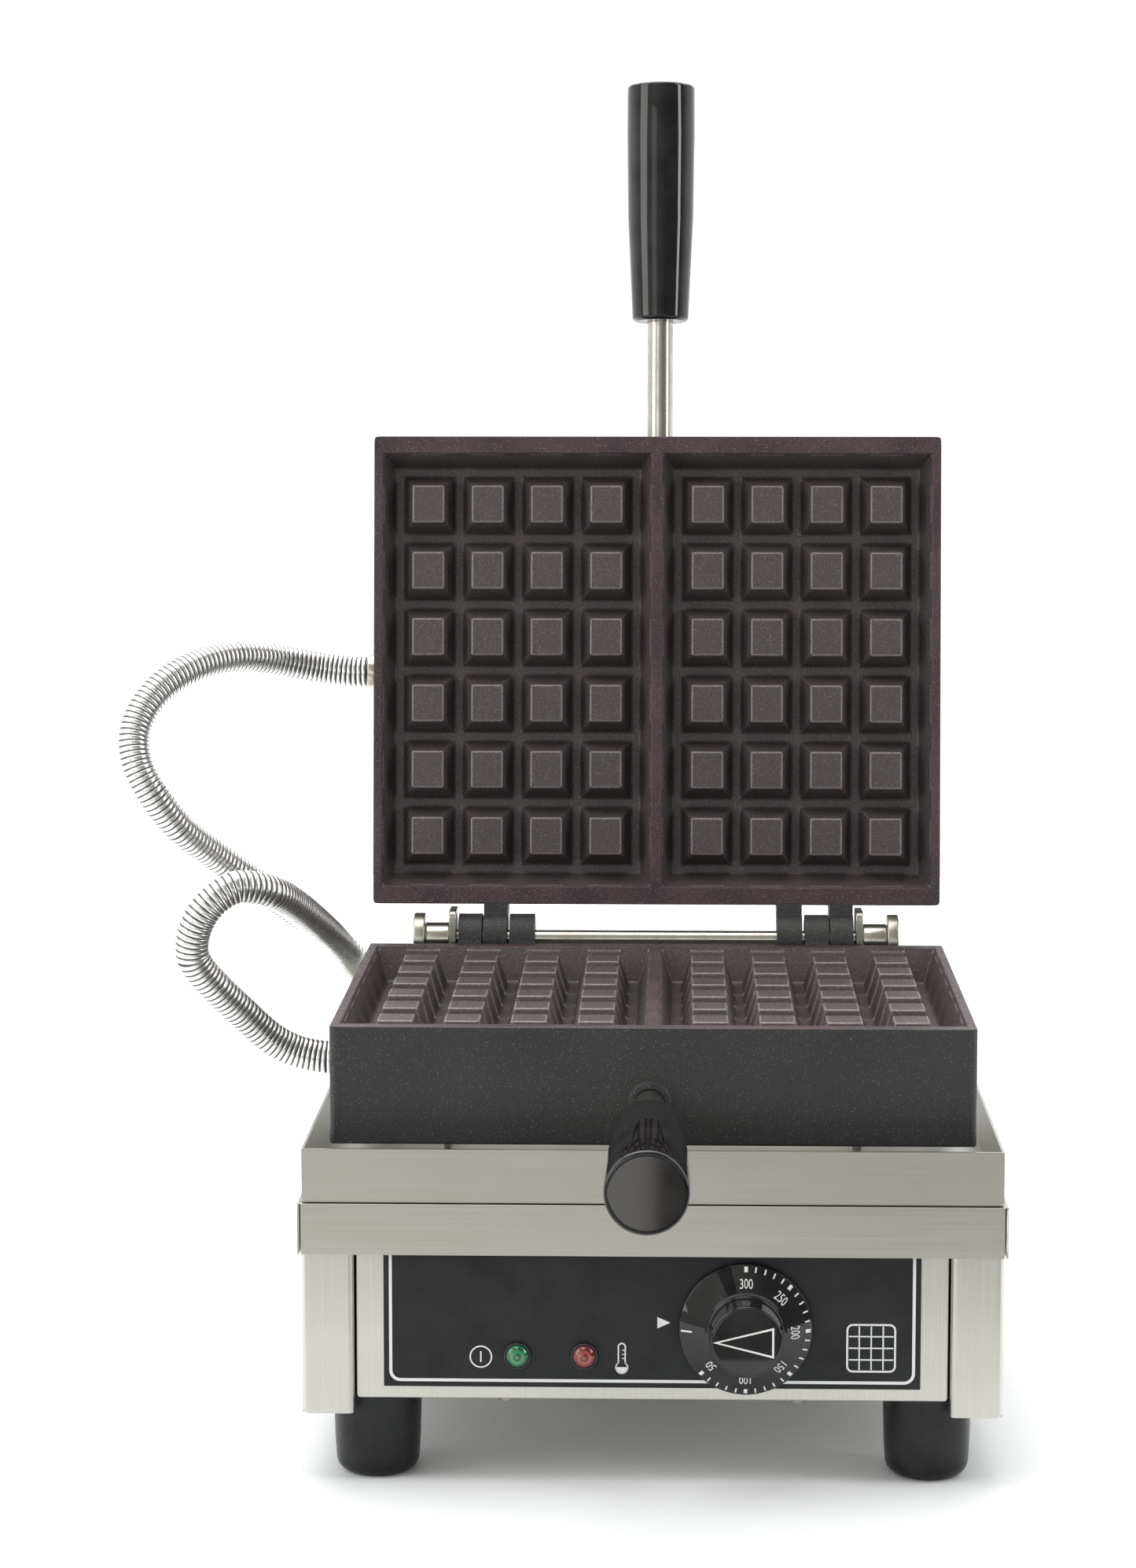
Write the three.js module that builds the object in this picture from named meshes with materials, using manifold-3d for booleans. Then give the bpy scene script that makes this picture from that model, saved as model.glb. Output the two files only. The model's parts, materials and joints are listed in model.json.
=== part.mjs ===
// Counter-top waffle maker: two hinged cast-iron moulds over a sheet-steel base.
// Millimetres, +Z up, +Y to the back. The origin is on the table, under the middle of the machine.
import * as THREE from 'three';
import { mergeVertices } from 'three/addons/utils/BufferGeometryUtils.js';
import Module from 'manifold-3d';

const wasm = await Module();
wasm.setup();

// ---- driving dimensions ----
const gap = 0.3; // clearance between neighbouring pieces
const sheet = 1; // thickness of the folded steel sheets

const splitZ = 166; // height of the joint face between the moulds
const hingeY = 135.3; // hinge axis, on the joint face
const openAngle = 96.4; // how far the upper mould is swung open, degrees

const mould = {
  width: 234,
  length: 193.3,
  depth: 43.3,
  back: 14, // from the rear wall to the hinge axis
  wall: 6,
  corner: 2.5,
  faceGap: 0.15, // the joint face lies this far from the split plane
};
const pocket = {
  width: 111.3,
  length: 179.1,
  depth: 14,
  floorWidth: 102.2,
  floorLength: 168.5,
  offsetX: 57.8,
  centreY: -110.8, // from the hinge axis
};
const stud = {
  columns: 4,
  rows: 6,
  pitchX: 24.55,
  pitchY: 27.45,
  topWidth: 12.9,
  topLength: 15,
  baseWidth: 20.7,
  baseLength: 23.5,
  recess: 1.3, // the tops lie this far below the joint face
};
const knuckleRadius = 10.1;
const knuckles = [[-81.2, -71.5], [-60.2, -49.8], [61.2, 71.1]]; // along the lower mould's hinge
const shaftRadius = 3.4;
const shaftEnd = 97.8;
const sleeve = { radius: 6.4, end: 94.8 };
const cap = { radius: 10.3, inner: 95.1, seat: 98.1, outer: 99.8 };
const restPinSize = { radius: 1.6, x: 74, fromFront: 4 };
const boltHole = 2.3;
const handle = {
  offsetX: -1, // of the lower mould; the upper casting is the same one turned over
  belowFace: 27.6,
  rodRadius: 5.3,
  gripStart: 50.4, // from the mould's front
  gripLength: 98.6,
  gripBore: 60.5, // how deep the grip is bored for the rod
  inset: 16, // how far the rod goes into the casting
};
const hose = { radius: 6.4, exitY: -110.65, exitDepth: 29.5, bore: 5, steps: 48, sides: 10 };
const ferrule = { inner: 2.8, radius: 7, reach: 4.4, inset: 8 };

const base = {
  halfWidth: 127.6,
  front: -87.2,
  back: 211,
  lidTop: 104,
  skirtBottom: 85.4,
  lidSheet: 0.8,
};
const side = {
  outer: 126.4,
  front: -86,
  back: 209.8,
  bottom: 26.5,
  top: 102.8,
  flange: 19,
  frontReturn: 6.5, // the front flange is folded back along its inner edge
  backFlange: 19,
};
const panel = {
  front: -83,
  back: 206.8,
  halfWidth: 106.8,
  top: 102.4,
  bottom: 31.6,
  lip: 14,
  screwX: 53,
  screwY: -75,
};
const overlay = { halfWidth: 96.8, bottom: 36.2, top: 86.2, thickness: 0.4 };
const foot = { radius: 16.2, x: 100.5, frontY: -64, rearY: 188, height: 31.3 };
const tray = { halfWidth: 126, front: -85.8, back: 123, floor: 104.3, top: 123.8 };
const bracket = {
  inner: 82,
  outer: 85,
  halfLength: 8.5,
  topRise: 12.4,
  footWidth: 22,
  footBack: 21,
  footHeight: 3,
  boltX: 96,
  boltY: [0, 14], // behind the hinge axis
};
const knob = { x: 33.8, z: 58.6, skirtRadius: 24.2, capRadius: 13, back: -84.2, front: -105 };
const lamp = { z: 47.9, greenX: -48.5, redX: -24.3, bezelRadius: 4.9, lensRadius: 4, bodyRadius: 3.3 };
const hoseEntry = { x: -113, lowerY: 172, upperY: 196, top: 110.9 };
const mainsGland = { x: 80, z: 56, end: 221 };

// Routes of the two metal hoses, from the mould's ferrule to the entry on the lid.
const lowerHoseRoute = [
  [-122, 24.65, 136.5], [-127, 24.65, 136.5], [-137.8, 24.2, 138.7], [-147.8, 22, 144.4],
  [-158, 17, 155.1], [-167.6, 10, 166.3], [-175.3, 4, 178.6], [-173.9, 1, 190.1],
  [-168.3, 1, 199.5], [-158.7, 4, 205.5], [-147, 12, 202.9], [-140.9, 26, 197.2],
  [-135.3, 45, 188.6], [-130.8, 68, 179], [-128.5, 92, 170.7], [-126.2, 118, 160.6],
  [-121.5, 146, 146.3], [-115.6, 166.5, 130], [-113, 172, 117], [-113, 172, 111.5],
];
const upperHoseRoute = [
  [-122, 176.95, 272.7], [-128.5, 176.95, 272.8], [-142.1, 176, 274.5], [-159.6, 169.4, 278.2],
  [-175, 158, 280.5], [-190.4, 145, 277.6], [-202.5, 135.7, 270.6], [-210.5, 130, 260.8],
  [-213.8, 126.2, 249.8], [-212.1, 123.8, 238.5], [-206.3, 123.8, 227.1], [-196.2, 129.6, 212.3],
  [-184.5, 140.2, 200.6], [-174.5, 147.1, 191.8], [-154.5, 163, 174.8], [-143.5, 171.5, 165.2],
  [-129, 184, 149.2], [-117, 193, 131.5], [-113, 196, 117], [-113, 196, 111.5],
];

// ---- finishes ----
const finish = (color, roughness, metalness) => (
  new THREE.MeshStandardMaterial({ color, roughness, metalness })
);
const castIron = finish('#3f3c3b', 0.6, 0.55);
const brushedSteel = finish('#b4b2ab', 0.35, 0.9);
const polishedSteel = finish('#cfcdc6', 0.2, 1);
const bakelite = finish('#0c0c0d', 0.15, 0);
const rubber = finish('#151517', 0.6, 0);
const blackFilm = finish('#1c1c1d', 0.5, 0);
const greenLens = finish('#0e7a3a', 0.15, 0);
const redLens = finish('#8e1c1c', 0.15, 0);
const blackPlastic = finish('#1a1a1b', 0.45, 0);
const mineralWool = finish('#b7a671', 0.95, 0);
const ceramic = finish('#e4e0d6', 0.6, 0);

// ---- joining and cutting ----
function toSolid(geometry) {
  const bare = geometry.clone();
  bare.deleteAttribute('normal');
  bare.deleteAttribute('uv');
  const merged = mergeVertices(bare, 1e-4);
  const corners = merged.index.array;
  const triangles = [];
  for (let i = 0; i < corners.length; i += 3) {
    const [a, b, c] = [corners[i], corners[i + 1], corners[i + 2]];
    if (a !== b && b !== c && c !== a) triangles.push(a, b, c);
  }
  return new wasm.Manifold(new wasm.Mesh({
    numProp: 3,
    vertProperties: new Float32Array(merged.attributes.position.array),
    triVerts: new Uint32Array(triangles),
  }));
}

function toGeometry(solid) {
  const mesh = solid.getMesh();
  const geometry = new THREE.BufferGeometry();
  geometry.setAttribute('position', new THREE.BufferAttribute(new Float32Array(mesh.vertProperties), 3));
  geometry.setIndex(new THREE.BufferAttribute(new Uint32Array(mesh.triVerts), 1));
  geometry.computeVertexNormals();
  return geometry;
}

const join = (first, ...rest) => rest.reduce((whole, piece) => whole.add(toSolid(piece)), first);
const cut = (first, ...rest) => rest.reduce((whole, piece) => whole.subtract(toSolid(piece)), first);

// ---- plain shapes ----
function box(x0, x1, y0, y1, z0, z1) {
  const geometry = new THREE.BoxGeometry(x1 - x0, y1 - y0, z1 - z0);
  geometry.translate((x0 + x1) / 2, (y0 + y1) / 2, (z0 + z1) / 2);
  return geometry;
}

// A block whose top and bottom differ in size, standing on z0 with its top at z1.
function taperedBlock(bottomWidth, bottomLength, topWidth, topLength, z0, z1) {
  const geometry = new THREE.BoxGeometry(1, 1, z1 - z0);
  const position = geometry.attributes.position;
  for (let i = 0; i < position.count; i += 1) {
    const atTop = position.getZ(i) > 0;
    position.setX(i, position.getX(i) * (atTop ? topWidth : bottomWidth));
    position.setY(i, position.getY(i) * (atTop ? topLength : bottomLength));
  }
  geometry.translate(0, 0, (z0 + z1) / 2);
  return geometry;
}

function roundedSlab(width, length, corner, z0, z1) {
  const x = width / 2;
  const y = length / 2;
  const shape = new THREE.Shape();
  shape.moveTo(-x + corner, -y);
  shape.lineTo(x - corner, -y);
  shape.absarc(x - corner, -y + corner, corner, -Math.PI / 2, 0, false);
  shape.lineTo(x, y - corner);
  shape.absarc(x - corner, y - corner, corner, 0, Math.PI / 2, false);
  shape.lineTo(-x + corner, y);
  shape.absarc(-x + corner, y - corner, corner, Math.PI / 2, Math.PI, false);
  shape.lineTo(-x, -y + corner);
  shape.absarc(-x + corner, -y + corner, corner, Math.PI, Math.PI * 1.5, false);
  const settings = { depth: z1 - z0, bevelEnabled: false, curveSegments: 4 };
  const geometry = new THREE.ExtrudeGeometry(shape, settings);
  geometry.translate(0, 0, z0);
  return geometry;
}

// A side outline in (y, z), extruded along X from x0 to x1.
function alongX(outline, x0, x1) {
  const shape = new THREE.Shape(outline.map(([y, z]) => new THREE.Vector2(y, z)));
  const geometry = new THREE.ExtrudeGeometry(shape, { depth: x1 - x0, bevelEnabled: false });
  const basis = new THREE.Matrix4().makeBasis(
    new THREE.Vector3(0, 1, 0), new THREE.Vector3(0, 0, 1), new THREE.Vector3(1, 0, 0));
  geometry.applyMatrix4(basis);
  geometry.translate(x0, 0, 0);
  return geometry;
}

// A floor outline in (x, y), extruded upwards from z0 to z1.
function alongZ(outline, z0, z1) {
  const shape = new THREE.Shape(outline.map(([x, y]) => new THREE.Vector2(x, y)));
  const geometry = new THREE.ExtrudeGeometry(shape, { depth: z1 - z0, bevelEnabled: false });
  geometry.translate(0, 0, z0);
  return geometry;
}

// A turned piece about Y; each point is [radius, distance along the axis], upwards on the outer face.
function turned(profile, segments = 32) {
  return new THREE.LatheGeometry(profile.map(([r, y]) => new THREE.Vector2(r, y)), segments);
}
const turnedAlongX = (profile, segments) => turned(profile, segments).rotateZ(-Math.PI / 2);
const turnedAlongZ = (profile, segments) => turned(profile, segments).rotateX(Math.PI / 2);
const rod = (radius, from, to) => [[0, from], [radius, from], [radius, to], [0, to]];

function mesh(name, geometry, material, position = [0, 0, 0]) {
  const part = new THREE.Mesh(geometry, material);
  part.name = name;
  part.position.set(...position);
  return part;
}

// ---- moulds: built about the hinge axis, face up, front towards -Y ----
const mouldFront = -mould.back - mould.length;
const mouldMiddleY = mouldFront + mould.length / 2;

function castingGeometry(hoseSide) {
  const top = -mould.faceGap;
  const bottom = -mould.depth;
  const { width, length, corner } = mould;
  const body = roundedSlab(width, length, corner, bottom, top).translate(0, mouldMiddleY, 0);
  const cavityTop = top - pocket.depth - mould.wall;
  const inner = mould.width / 2 - mould.wall;
  let solid = cut(toSolid(body), box(-inner, inner, mouldFront + mould.wall, -mould.back - mould.wall,
    bottom - 1, cavityTop));

  // boss that the handle rod is screwed into
  const bossHalf = handle.rodRadius * 2;
  solid = join(solid, box(handle.offsetX - bossHalf, handle.offsetX + bossHalf, mouldFront + 1,
    mouldFront + handle.inset + 4, -handle.belowFace - bossHalf, cavityTop + 1));

  // knuckles, each with a gusset back to the rear wall
  const wallY = -mould.back - 1;
  const gusset = [[wallY, top], [0, top], [0, -knuckleRadius], [wallY, -knuckleRadius - 12]];
  for (const [x0, x1] of knuckles) {
    solid = join(solid, alongX(gusset, x0, x1));
    solid = join(solid, turnedAlongX(rod(knuckleRadius, x0, x1), 32));
  }
  const bore = shaftRadius + gap;
  solid = cut(solid, turnedAlongX(rod(bore, -mould.width / 2, mould.width / 2), 24));

  // two pockets, each with its grid of tapered studs
  const floor = top - pocket.depth;
  const over = 1;
  const spread = over / pocket.depth;
  for (const sideX of [-pocket.offsetX, pocket.offsetX]) {
    solid = cut(solid, taperedBlock(pocket.floorWidth, pocket.floorLength,
      pocket.width + (pocket.width - pocket.floorWidth) * spread,
      pocket.length + (pocket.length - pocket.floorLength) * spread,
      floor, top + over).translate(sideX, pocket.centreY, 0));
    for (let column = 0; column < stud.columns; column += 1) {
      for (let row = 0; row < stud.rows; row += 1) {
        const x = sideX + (column - (stud.columns - 1) / 2) * stud.pitchX;
        const y = pocket.centreY + (row - (stud.rows - 1) / 2) * stud.pitchY;
        solid = join(solid, taperedBlock(stud.baseWidth, stud.baseLength, stud.topWidth, stud.topLength,
          floor - 0.01, top - stud.recess).translate(x, y, 0));
      }
    }
  }

  // bores for the handle rod and for the hose fitting
  const rodBore = handle.rodRadius + gap;
  solid = cut(solid, turned(rod(rodBore, mouldFront - 1, mouldFront + handle.inset + gap), 24)
    .translate(handle.offsetX, 0, -handle.belowFace));
  const sideWall = hoseSide * (mould.width / 2 - mould.wall / 2);
  solid = cut(solid, turnedAlongX(rod(hose.bore, -mould.wall, mould.wall), 24)
    .translate(sideWall, hose.exitY, -hose.exitDepth));
  return toGeometry(solid);
}

// One bar bent into a W, lying against the back of the pockets' floor.
function heatingElementGeometry() {
  const radius = 4;
  const side = mould.width / 2 - 22;
  const near = mouldFront + 34;
  const far = -mould.back - 24;
  const bend = 14;
  const half = [
    [side, far], [side, near + bend], [side - bend, near], [18 + bend, near], [18, near + bend],
    [18, far - bend], [6, far - 2],
  ];
  const route = [...half.map(([x, y]) => [-x, y]), ...half.reverse()];
  const height = -mould.faceGap - pocket.depth - mould.wall - gap - radius;
  const curve = new THREE.CatmullRomCurve3(route.map(([x, y]) => new THREE.Vector3(x, y, height)));
  return tubeGeometry(curve, radius, 44, 8);
}

// A round bar along a curve.
function tubeGeometry(curve, radius, steps, sides) {
  const section = new THREE.Shape();
  for (let i = 0; i < sides; i += 1) {
    const angle = (i / sides) * Math.PI * 2;
    const point = [Math.cos(angle) * radius, Math.sin(angle) * radius];
    if (i === 0) section.moveTo(...point);
    else section.lineTo(...point);
  }
  section.closePath();
  return new THREE.ExtrudeGeometry(section, { steps, bevelEnabled: false, extrudePath: curve });
}

function insulationGeometry() {
  const halfWidth = mould.width / 2 - mould.wall - 3;
  return box(-halfWidth, halfWidth, mouldFront + 22, -mould.back - mould.wall - 2, -mould.depth + 2, -30.5);
}

function coverGeometry() {
  const halfWidth = mould.width / 2 - mould.wall - gap;
  return box(-halfWidth, halfWidth, mouldFront + mould.wall + gap, -mould.back - mould.wall - gap,
    -mould.depth + 0.2, -mould.depth + 0.2 + sheet);
}

function handleRodGeometry() {
  const inGrip = handle.gripBore - 0.5;
  return turned(rod(handle.rodRadius, mouldFront - handle.gripStart - inGrip, mouldFront + handle.inset), 24);
}

// The grip swells towards its free end and is bored for the rod.
function gripGeometry() {
  const start = mouldFront - handle.gripStart;
  const end = start - handle.gripLength;
  const bore = handle.rodRadius + gap;
  const profile = [
    [0, end], [12.9, end], [13.9, end + 1.2], [14.1, end + 5], [14.1, end + 32], [13.7, end + 55],
    [12.6, end + 80], [11.6, start - 2], [10.8, start], [bore, start], [bore, start - handle.gripBore],
    [0, start - handle.gripBore],
  ];
  return turned(profile, 28);
}

// Threaded fitting that holds the end of the hose in the mould's side wall.
function ferruleGeometry(hoseSide) {
  const wall = mould.width / 2;
  const { inner, radius, reach, inset } = ferrule;
  const stem = hose.bore - gap;
  const profile = [
    [inner, wall - inset], [stem, wall - inset], [stem, wall + gap], [radius, wall + gap],
    [radius, wall + reach], [inner, wall + reach], [inner, wall - inset],
  ];
  const geometry = turned(profile, 24);
  return geometry.rotateZ(-hoseSide * Math.PI / 2);
}

function mouldGroup(prefix, hoseSide) {
  const group = new THREE.Group();
  group.add(mesh(`${prefix}_casting`, castingGeometry(hoseSide), castIron));
  group.add(mesh(`${prefix}_heating_element`, heatingElementGeometry(), polishedSteel));
  group.add(mesh(`${prefix}_insulation`, insulationGeometry(), mineralWool));
  group.add(mesh(`${prefix}_cover`, coverGeometry(), brushedSteel));
  const axis = [handle.offsetX, 0, -handle.belowFace];
  group.add(mesh(`${prefix}_handle_rod`, handleRodGeometry(), polishedSteel, axis));
  group.add(mesh(`${prefix}_grip`, gripGeometry(), bakelite, axis));
  group.add(mesh(`${prefix}_hose_ferrule`, ferruleGeometry(hoseSide), polishedSteel,
    [0, hose.exitY, -hose.exitDepth]));
  return group;
}

// Pins under the lower mould's front wall that stand on the tray's floor.
function restPin(name, x) {
  const top = splitZ - mould.depth - gap;
  const bottom = tray.floor + sheet + gap;
  const y = hingeY + mouldFront + restPinSize.fromFront;
  return mesh(name, turnedAlongZ(rod(restPinSize.radius, bottom, top), 12), polishedSteel, [x, y, 0]);
}

// ---- hinge ----
function hingeBracket(name, sign) {
  const { inner, outer, halfLength, topRise, footWidth, footBack, footHeight, boltX, boltY } = bracket;
  const bottom = base.lidTop + gap - splitZ; // heights from the hinge axis
  const plate = [
    [-halfLength, bottom], [halfLength, bottom], [halfLength, topRise - 3], [halfLength - 0.9, topRise - 1.4],
    [halfLength - 3, topRise], [-halfLength + 3, topRise], [-halfLength + 0.9, topRise - 1.4],
    [-halfLength, topRise - 3],
  ];
  const [from, to] = sign > 0 ? [inner, outer] : [-outer, -inner];
  const [footFrom, footTo] = sign > 0 ? [inner, inner + footWidth] : [-inner - footWidth, -inner];
  let solid = toSolid(alongX(plate, from, to));
  solid = join(solid, box(footFrom, footTo, -halfLength, footBack, bottom, bottom + footHeight));
  solid = cut(solid, turnedAlongX(rod(shaftRadius + gap, from - 1, to + 1), 24));
  for (const y of boltY) {
    solid = cut(solid, turnedAlongZ(rod(boltHole, bottom - 1, bottom + footHeight + 1), 16)
      .translate(sign * boltX, y, 0));
  }
  return mesh(name, toGeometry(solid), brushedSteel, [0, hingeY, splitZ]);
}

function hingeShaft() {
  const geometry = turnedAlongX(rod(shaftRadius, -shaftEnd, shaftEnd), 24);
  return mesh('hinge_shaft', geometry, polishedSteel, [0, hingeY, splitZ]);
}

function shaftSleeve(name, sign) {
  const from = bracket.outer + gap;
  const bore = shaftRadius + gap;
  const { radius, end } = sleeve;
  const profile = [[bore, from], [radius, from], [radius, end], [bore, end], [bore, from]];
  return mesh(name, turned(profile, 24).rotateZ(-sign * Math.PI / 2), polishedSteel, [0, hingeY, splitZ]);
}

// Round cap over the shaft's end.
function shaftCap(name, sign) {
  const bore = shaftRadius + gap;
  const { radius, inner, seat, outer } = cap;
  const profile = [
    [0, seat], [bore, seat], [bore, inner], [radius, inner], [radius, outer - 0.8], [radius - 0.7, outer],
    [0, outer],
  ];
  return mesh(name, turned(profile, 24).rotateZ(-sign * Math.PI / 2), polishedSteel, [0, hingeY, splitZ]);
}

function bracketBolt(name, sign, y) {
  const foot = base.lidTop + gap + bracket.footHeight;
  const profile = [
    [0, foot - 5], [2, foot - 5], [2, foot + gap], [4, foot + gap], [3.8, foot + 2.6], [0, foot + 3.2],
  ];
  return mesh(name, turnedAlongZ(profile, 16), polishedSteel, [sign * bracket.boltX, hingeY + y, 0]);
}

// ---- base ----
// Folded lid: a flat top with a skirt all round, open underneath.
function baseLid() {
  const { halfWidth, front, back, lidTop, skirtBottom, lidSheet } = base;
  let solid = toSolid(box(-halfWidth, halfWidth, front, back, skirtBottom, lidTop));
  solid = cut(solid, box(-halfWidth + lidSheet, halfWidth - lidSheet, front + lidSheet, back - lidSheet,
    skirtBottom - 1, lidTop - lidSheet));
  for (const sign of [-1, 1]) {
    for (const y of bracket.boltY) {
      solid = cut(solid, turnedAlongZ(rod(boltHole, lidTop - 3, lidTop + 2), 16)
        .translate(sign * bracket.boltX, hingeY + y, 0));
    }
  }
  for (const y of [hoseEntry.lowerY, hoseEntry.upperY]) {
    solid = cut(solid, turnedAlongZ(rod(5.4, lidTop - 3, lidTop + 2), 20).translate(hoseEntry.x, y, 0));
  }
  return mesh('base_lid', toGeometry(solid), brushedSteel);
}

// Each side is one sheet folded into a channel, so that it also makes the front and back corner posts.
function baseSide(name, sign) {
  const { outer, front, back, bottom, top, flange, frontReturn, backFlange } = side;
  const inner = outer - sheet;
  const edge = outer - flange;
  const outline = [
    [edge, front], [outer, front], [outer, back], [outer - backFlange, back],
    [outer - backFlange, back - sheet], [inner, back - sheet], [inner, front + sheet],
    [edge + sheet, front + sheet],
    [edge + sheet, front + frontReturn], [edge, front + frontReturn],
  ];
  return mesh(name, alongZ(outline.map(([x, y]) => [sign * x, y]), bottom, top), brushedSteel);
}

// A panel is a shallow tray standing on edge: a face, two side returns and a lip underneath.
function panelSolid(face, inward) {
  const { halfWidth, top, bottom, lip } = panel;
  const depth = (from, to) => [face + inward * from, face + inward * to].sort((a, b) => a - b);
  const solid = toSolid(box(-halfWidth, halfWidth, ...depth(0, lip), bottom, top));
  const inside = halfWidth - sheet;
  return cut(solid, box(-inside, inside, ...depth(sheet, lip + 1), bottom + sheet, top + 1));
}

function frontPanel() {
  const hole = (radius, x, z) => turned(rod(radius, -3, 3), 24).translate(x, panel.front, z);
  let solid = panelSolid(panel.front, 1);
  solid = cut(solid, hole(3.6, knob.x, knob.z), hole(3.6, lamp.greenX, lamp.z), hole(3.6, lamp.redX, lamp.z));
  for (const x of [-panel.screwX, panel.screwX]) {
    solid = cut(solid, turnedAlongZ(rod(2.1, panel.bottom - 2, panel.bottom + 3), 16)
      .translate(x, panel.screwY, 0));
  }
  return mesh('front_panel', toGeometry(solid), brushedSteel);
}

function rearPanel() {
  const solid = cut(panelSolid(panel.back, -1),
    turned(rod(6.5, -3, 3), 24).translate(mainsGland.x, panel.back, mainsGland.z));
  return mesh('rear_panel', toGeometry(solid), brushedSteel);
}

function panelScrew(name, x) {
  const under = panel.bottom - gap;
  const profile = [
    [0, under - 2.4], [2.4, under - 2.2], [3.4, under - 1], [3.4, under], [1.8, under], [1.8, under + 6],
    [0, under + 6],
  ];
  return mesh(name, turnedAlongZ(profile, 20), polishedSteel, [x, panel.screwY, 0]);
}

function bottomPlate() {
  const halfWidth = side.outer - sheet - gap;
  const geometry = box(-halfWidth, halfWidth, panel.front + panel.lip + gap, panel.back - panel.lip - gap,
    panel.bottom, panel.bottom + sheet);
  return mesh('bottom_plate', geometry, brushedSteel);
}

function rubberFoot(name, x, y) {
  const { radius, height } = foot;
  const profile = [
    [0, 0], [radius - 6.5, 0], [radius - 3.4, 1.1], [radius - 1.4, 3.6], [radius - 0.6, 7.5],
    [radius - 0.1, 16], [radius, height], [0, height],
  ];
  return mesh(name, turnedAlongZ(profile, 28), rubber, [x, y, 0]);
}

// ---- controls ----
function controlOverlay() {
  const { halfWidth, bottom, top, thickness } = overlay;
  const back = panel.front - gap;
  const hole = (x, z) => turned(rod(3.6, back - 2, back + 2), 24).translate(x, 0, z);
  const solid = cut(toSolid(box(-halfWidth, halfWidth, back - thickness, back, bottom, top)),
    hole(knob.x, knob.z), hole(lamp.greenX, lamp.z), hole(lamp.redX, lamp.z));
  return mesh('control_overlay', toGeometry(solid), blackFilm);
}

function lampBody(name, x) {
  const front = panel.front - gap - overlay.thickness - gap;
  const { bezelRadius, lensRadius, bodyRadius } = lamp;
  const profile = [
    [0, front - 0.6], [lensRadius + gap, front - 0.6], [lensRadius + gap, front - 1.4],
    [bezelRadius - 0.3, front - 1.4], [bezelRadius, front - 1], [bezelRadius, front], [bodyRadius, front],
    [bodyRadius, front + 18], [0, front + 18],
  ];
  return mesh(name, turned(profile, 24), blackPlastic, [x, 0, lamp.z]);
}

function lampLens(name, x, material) {
  const back = panel.front - gap - overlay.thickness - gap - 0.6 - gap;
  const r = lamp.lensRadius;
  const profile = [
    [0, back - 2.2], [r * 0.5, back - 1.9], [r * 0.85, back - 1.2], [r, back - 0.4], [r, back], [0, back],
  ];
  return mesh(name, turned(profile, 24), material, [x, 0, lamp.z]);
}

// The dial: a numbered skirt with a round cap in front, bored from behind for the spindle.
function thermostatKnob() {
  const { skirtRadius, capRadius, back, front } = knob;
  const profile = [
    [0, front], [capRadius - 0.8, front], [capRadius, front + 0.8], [capRadius + 0.2, back - 7.6],
    [capRadius + 1.8, back - 7.2], [skirtRadius - 0.8, back - 2.2], [skirtRadius, back - 1.6],
    [skirtRadius, back], [3.3, back], [3.3, back - 14], [0, back - 14],
  ];
  return mesh('thermostat_knob', turned(profile, 36), bakelite, [knob.x, 0, knob.z]);
}

function thermostatSpindle() {
  return mesh('thermostat_spindle', turned(rod(3, knob.back - 13.7, panel.front + 16), 20), polishedSteel,
    [knob.x, 0, knob.z]);
}

function thermostatBody() {
  const from = panel.front + sheet + gap;
  const block = toSolid(box(knob.x - 18, knob.x + 18, from, from + 30, knob.z - 16, knob.z + 16));
  const bore = turned(rod(3.3, from - 1, panel.front + 16.3), 20).translate(knob.x, 0, knob.z);
  return mesh('thermostat_body', toGeometry(cut(block, bore)), ceramic);
}

// ---- inside the base, and where cables and hoses enter it ----
const insideFloor = panel.bottom + sheet + gap;

function terminalBlock() {
  return mesh('terminal_block', box(-60, 0, 120, 142, insideFloor, insideFloor + 20), ceramic);
}

function safetyThermostat() {
  const profile = [
    [0, insideFloor], [12, insideFloor], [12, insideFloor + 9], [7, insideFloor + 9], [7, insideFloor + 16],
    [0, insideFloor + 16],
  ];
  return mesh('safety_thermostat', turnedAlongZ(profile, 24), blackPlastic, [60, 120, 0]);
}

function hoseGland(name, y) {
  const seat = base.lidTop + gap;
  const { top } = hoseEntry;
  const profile = [
    [3, seat - 6], [5.1, seat - 6], [5.1, seat], [7.8, seat], [7.8, top - 2], [7.2, top], [3, top],
    [3, seat - 6],
  ];
  return mesh(name, turnedAlongZ(profile, 24), polishedSteel, [hoseEntry.x, y, 0]);
}

function mainsCableGland() {
  const seat = panel.back + gap;
  const profile = [
    [3.6, seat - 8], [6.2, seat - 8], [6.2, seat], [9.4, seat], [9.4, seat + 5], [7.8, seat + 5.4],
    [6.4, mainsGland.end], [3.6, mainsGland.end], [3.6, seat - 8],
  ];
  return mesh('mains_gland', turned(profile, 24), blackPlastic, [mainsGland.x, 0, mainsGland.z]);
}

function metalHose(name, route) {
  const points = route.map((point) => new THREE.Vector3(...point));
  const curve = new THREE.CatmullRomCurve3(points, false, 'centripetal');
  return mesh(name, tubeGeometry(curve, hose.radius, hose.steps, hose.sides), polishedSteel);
}

// ---- drip tray: open on top and at the back, so that it slides out under the moulds ----
function dripTray() {
  const { halfWidth, front, back, floor, top } = tray;
  const solid = cut(toSolid(box(-halfWidth, halfWidth, front, back, floor, top)),
    box(-halfWidth + sheet, halfWidth - sheet, front + sheet, back + 1, floor + sheet, top + 1));
  return mesh('drip_tray', toGeometry(solid), brushedSteel);
}

// ---- the whole machine ----
const machine = new THREE.Group();

const lowerMould = mouldGroup('lower', -1);
lowerMould.position.set(0, hingeY, splitZ);
machine.add(lowerMould);

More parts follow.
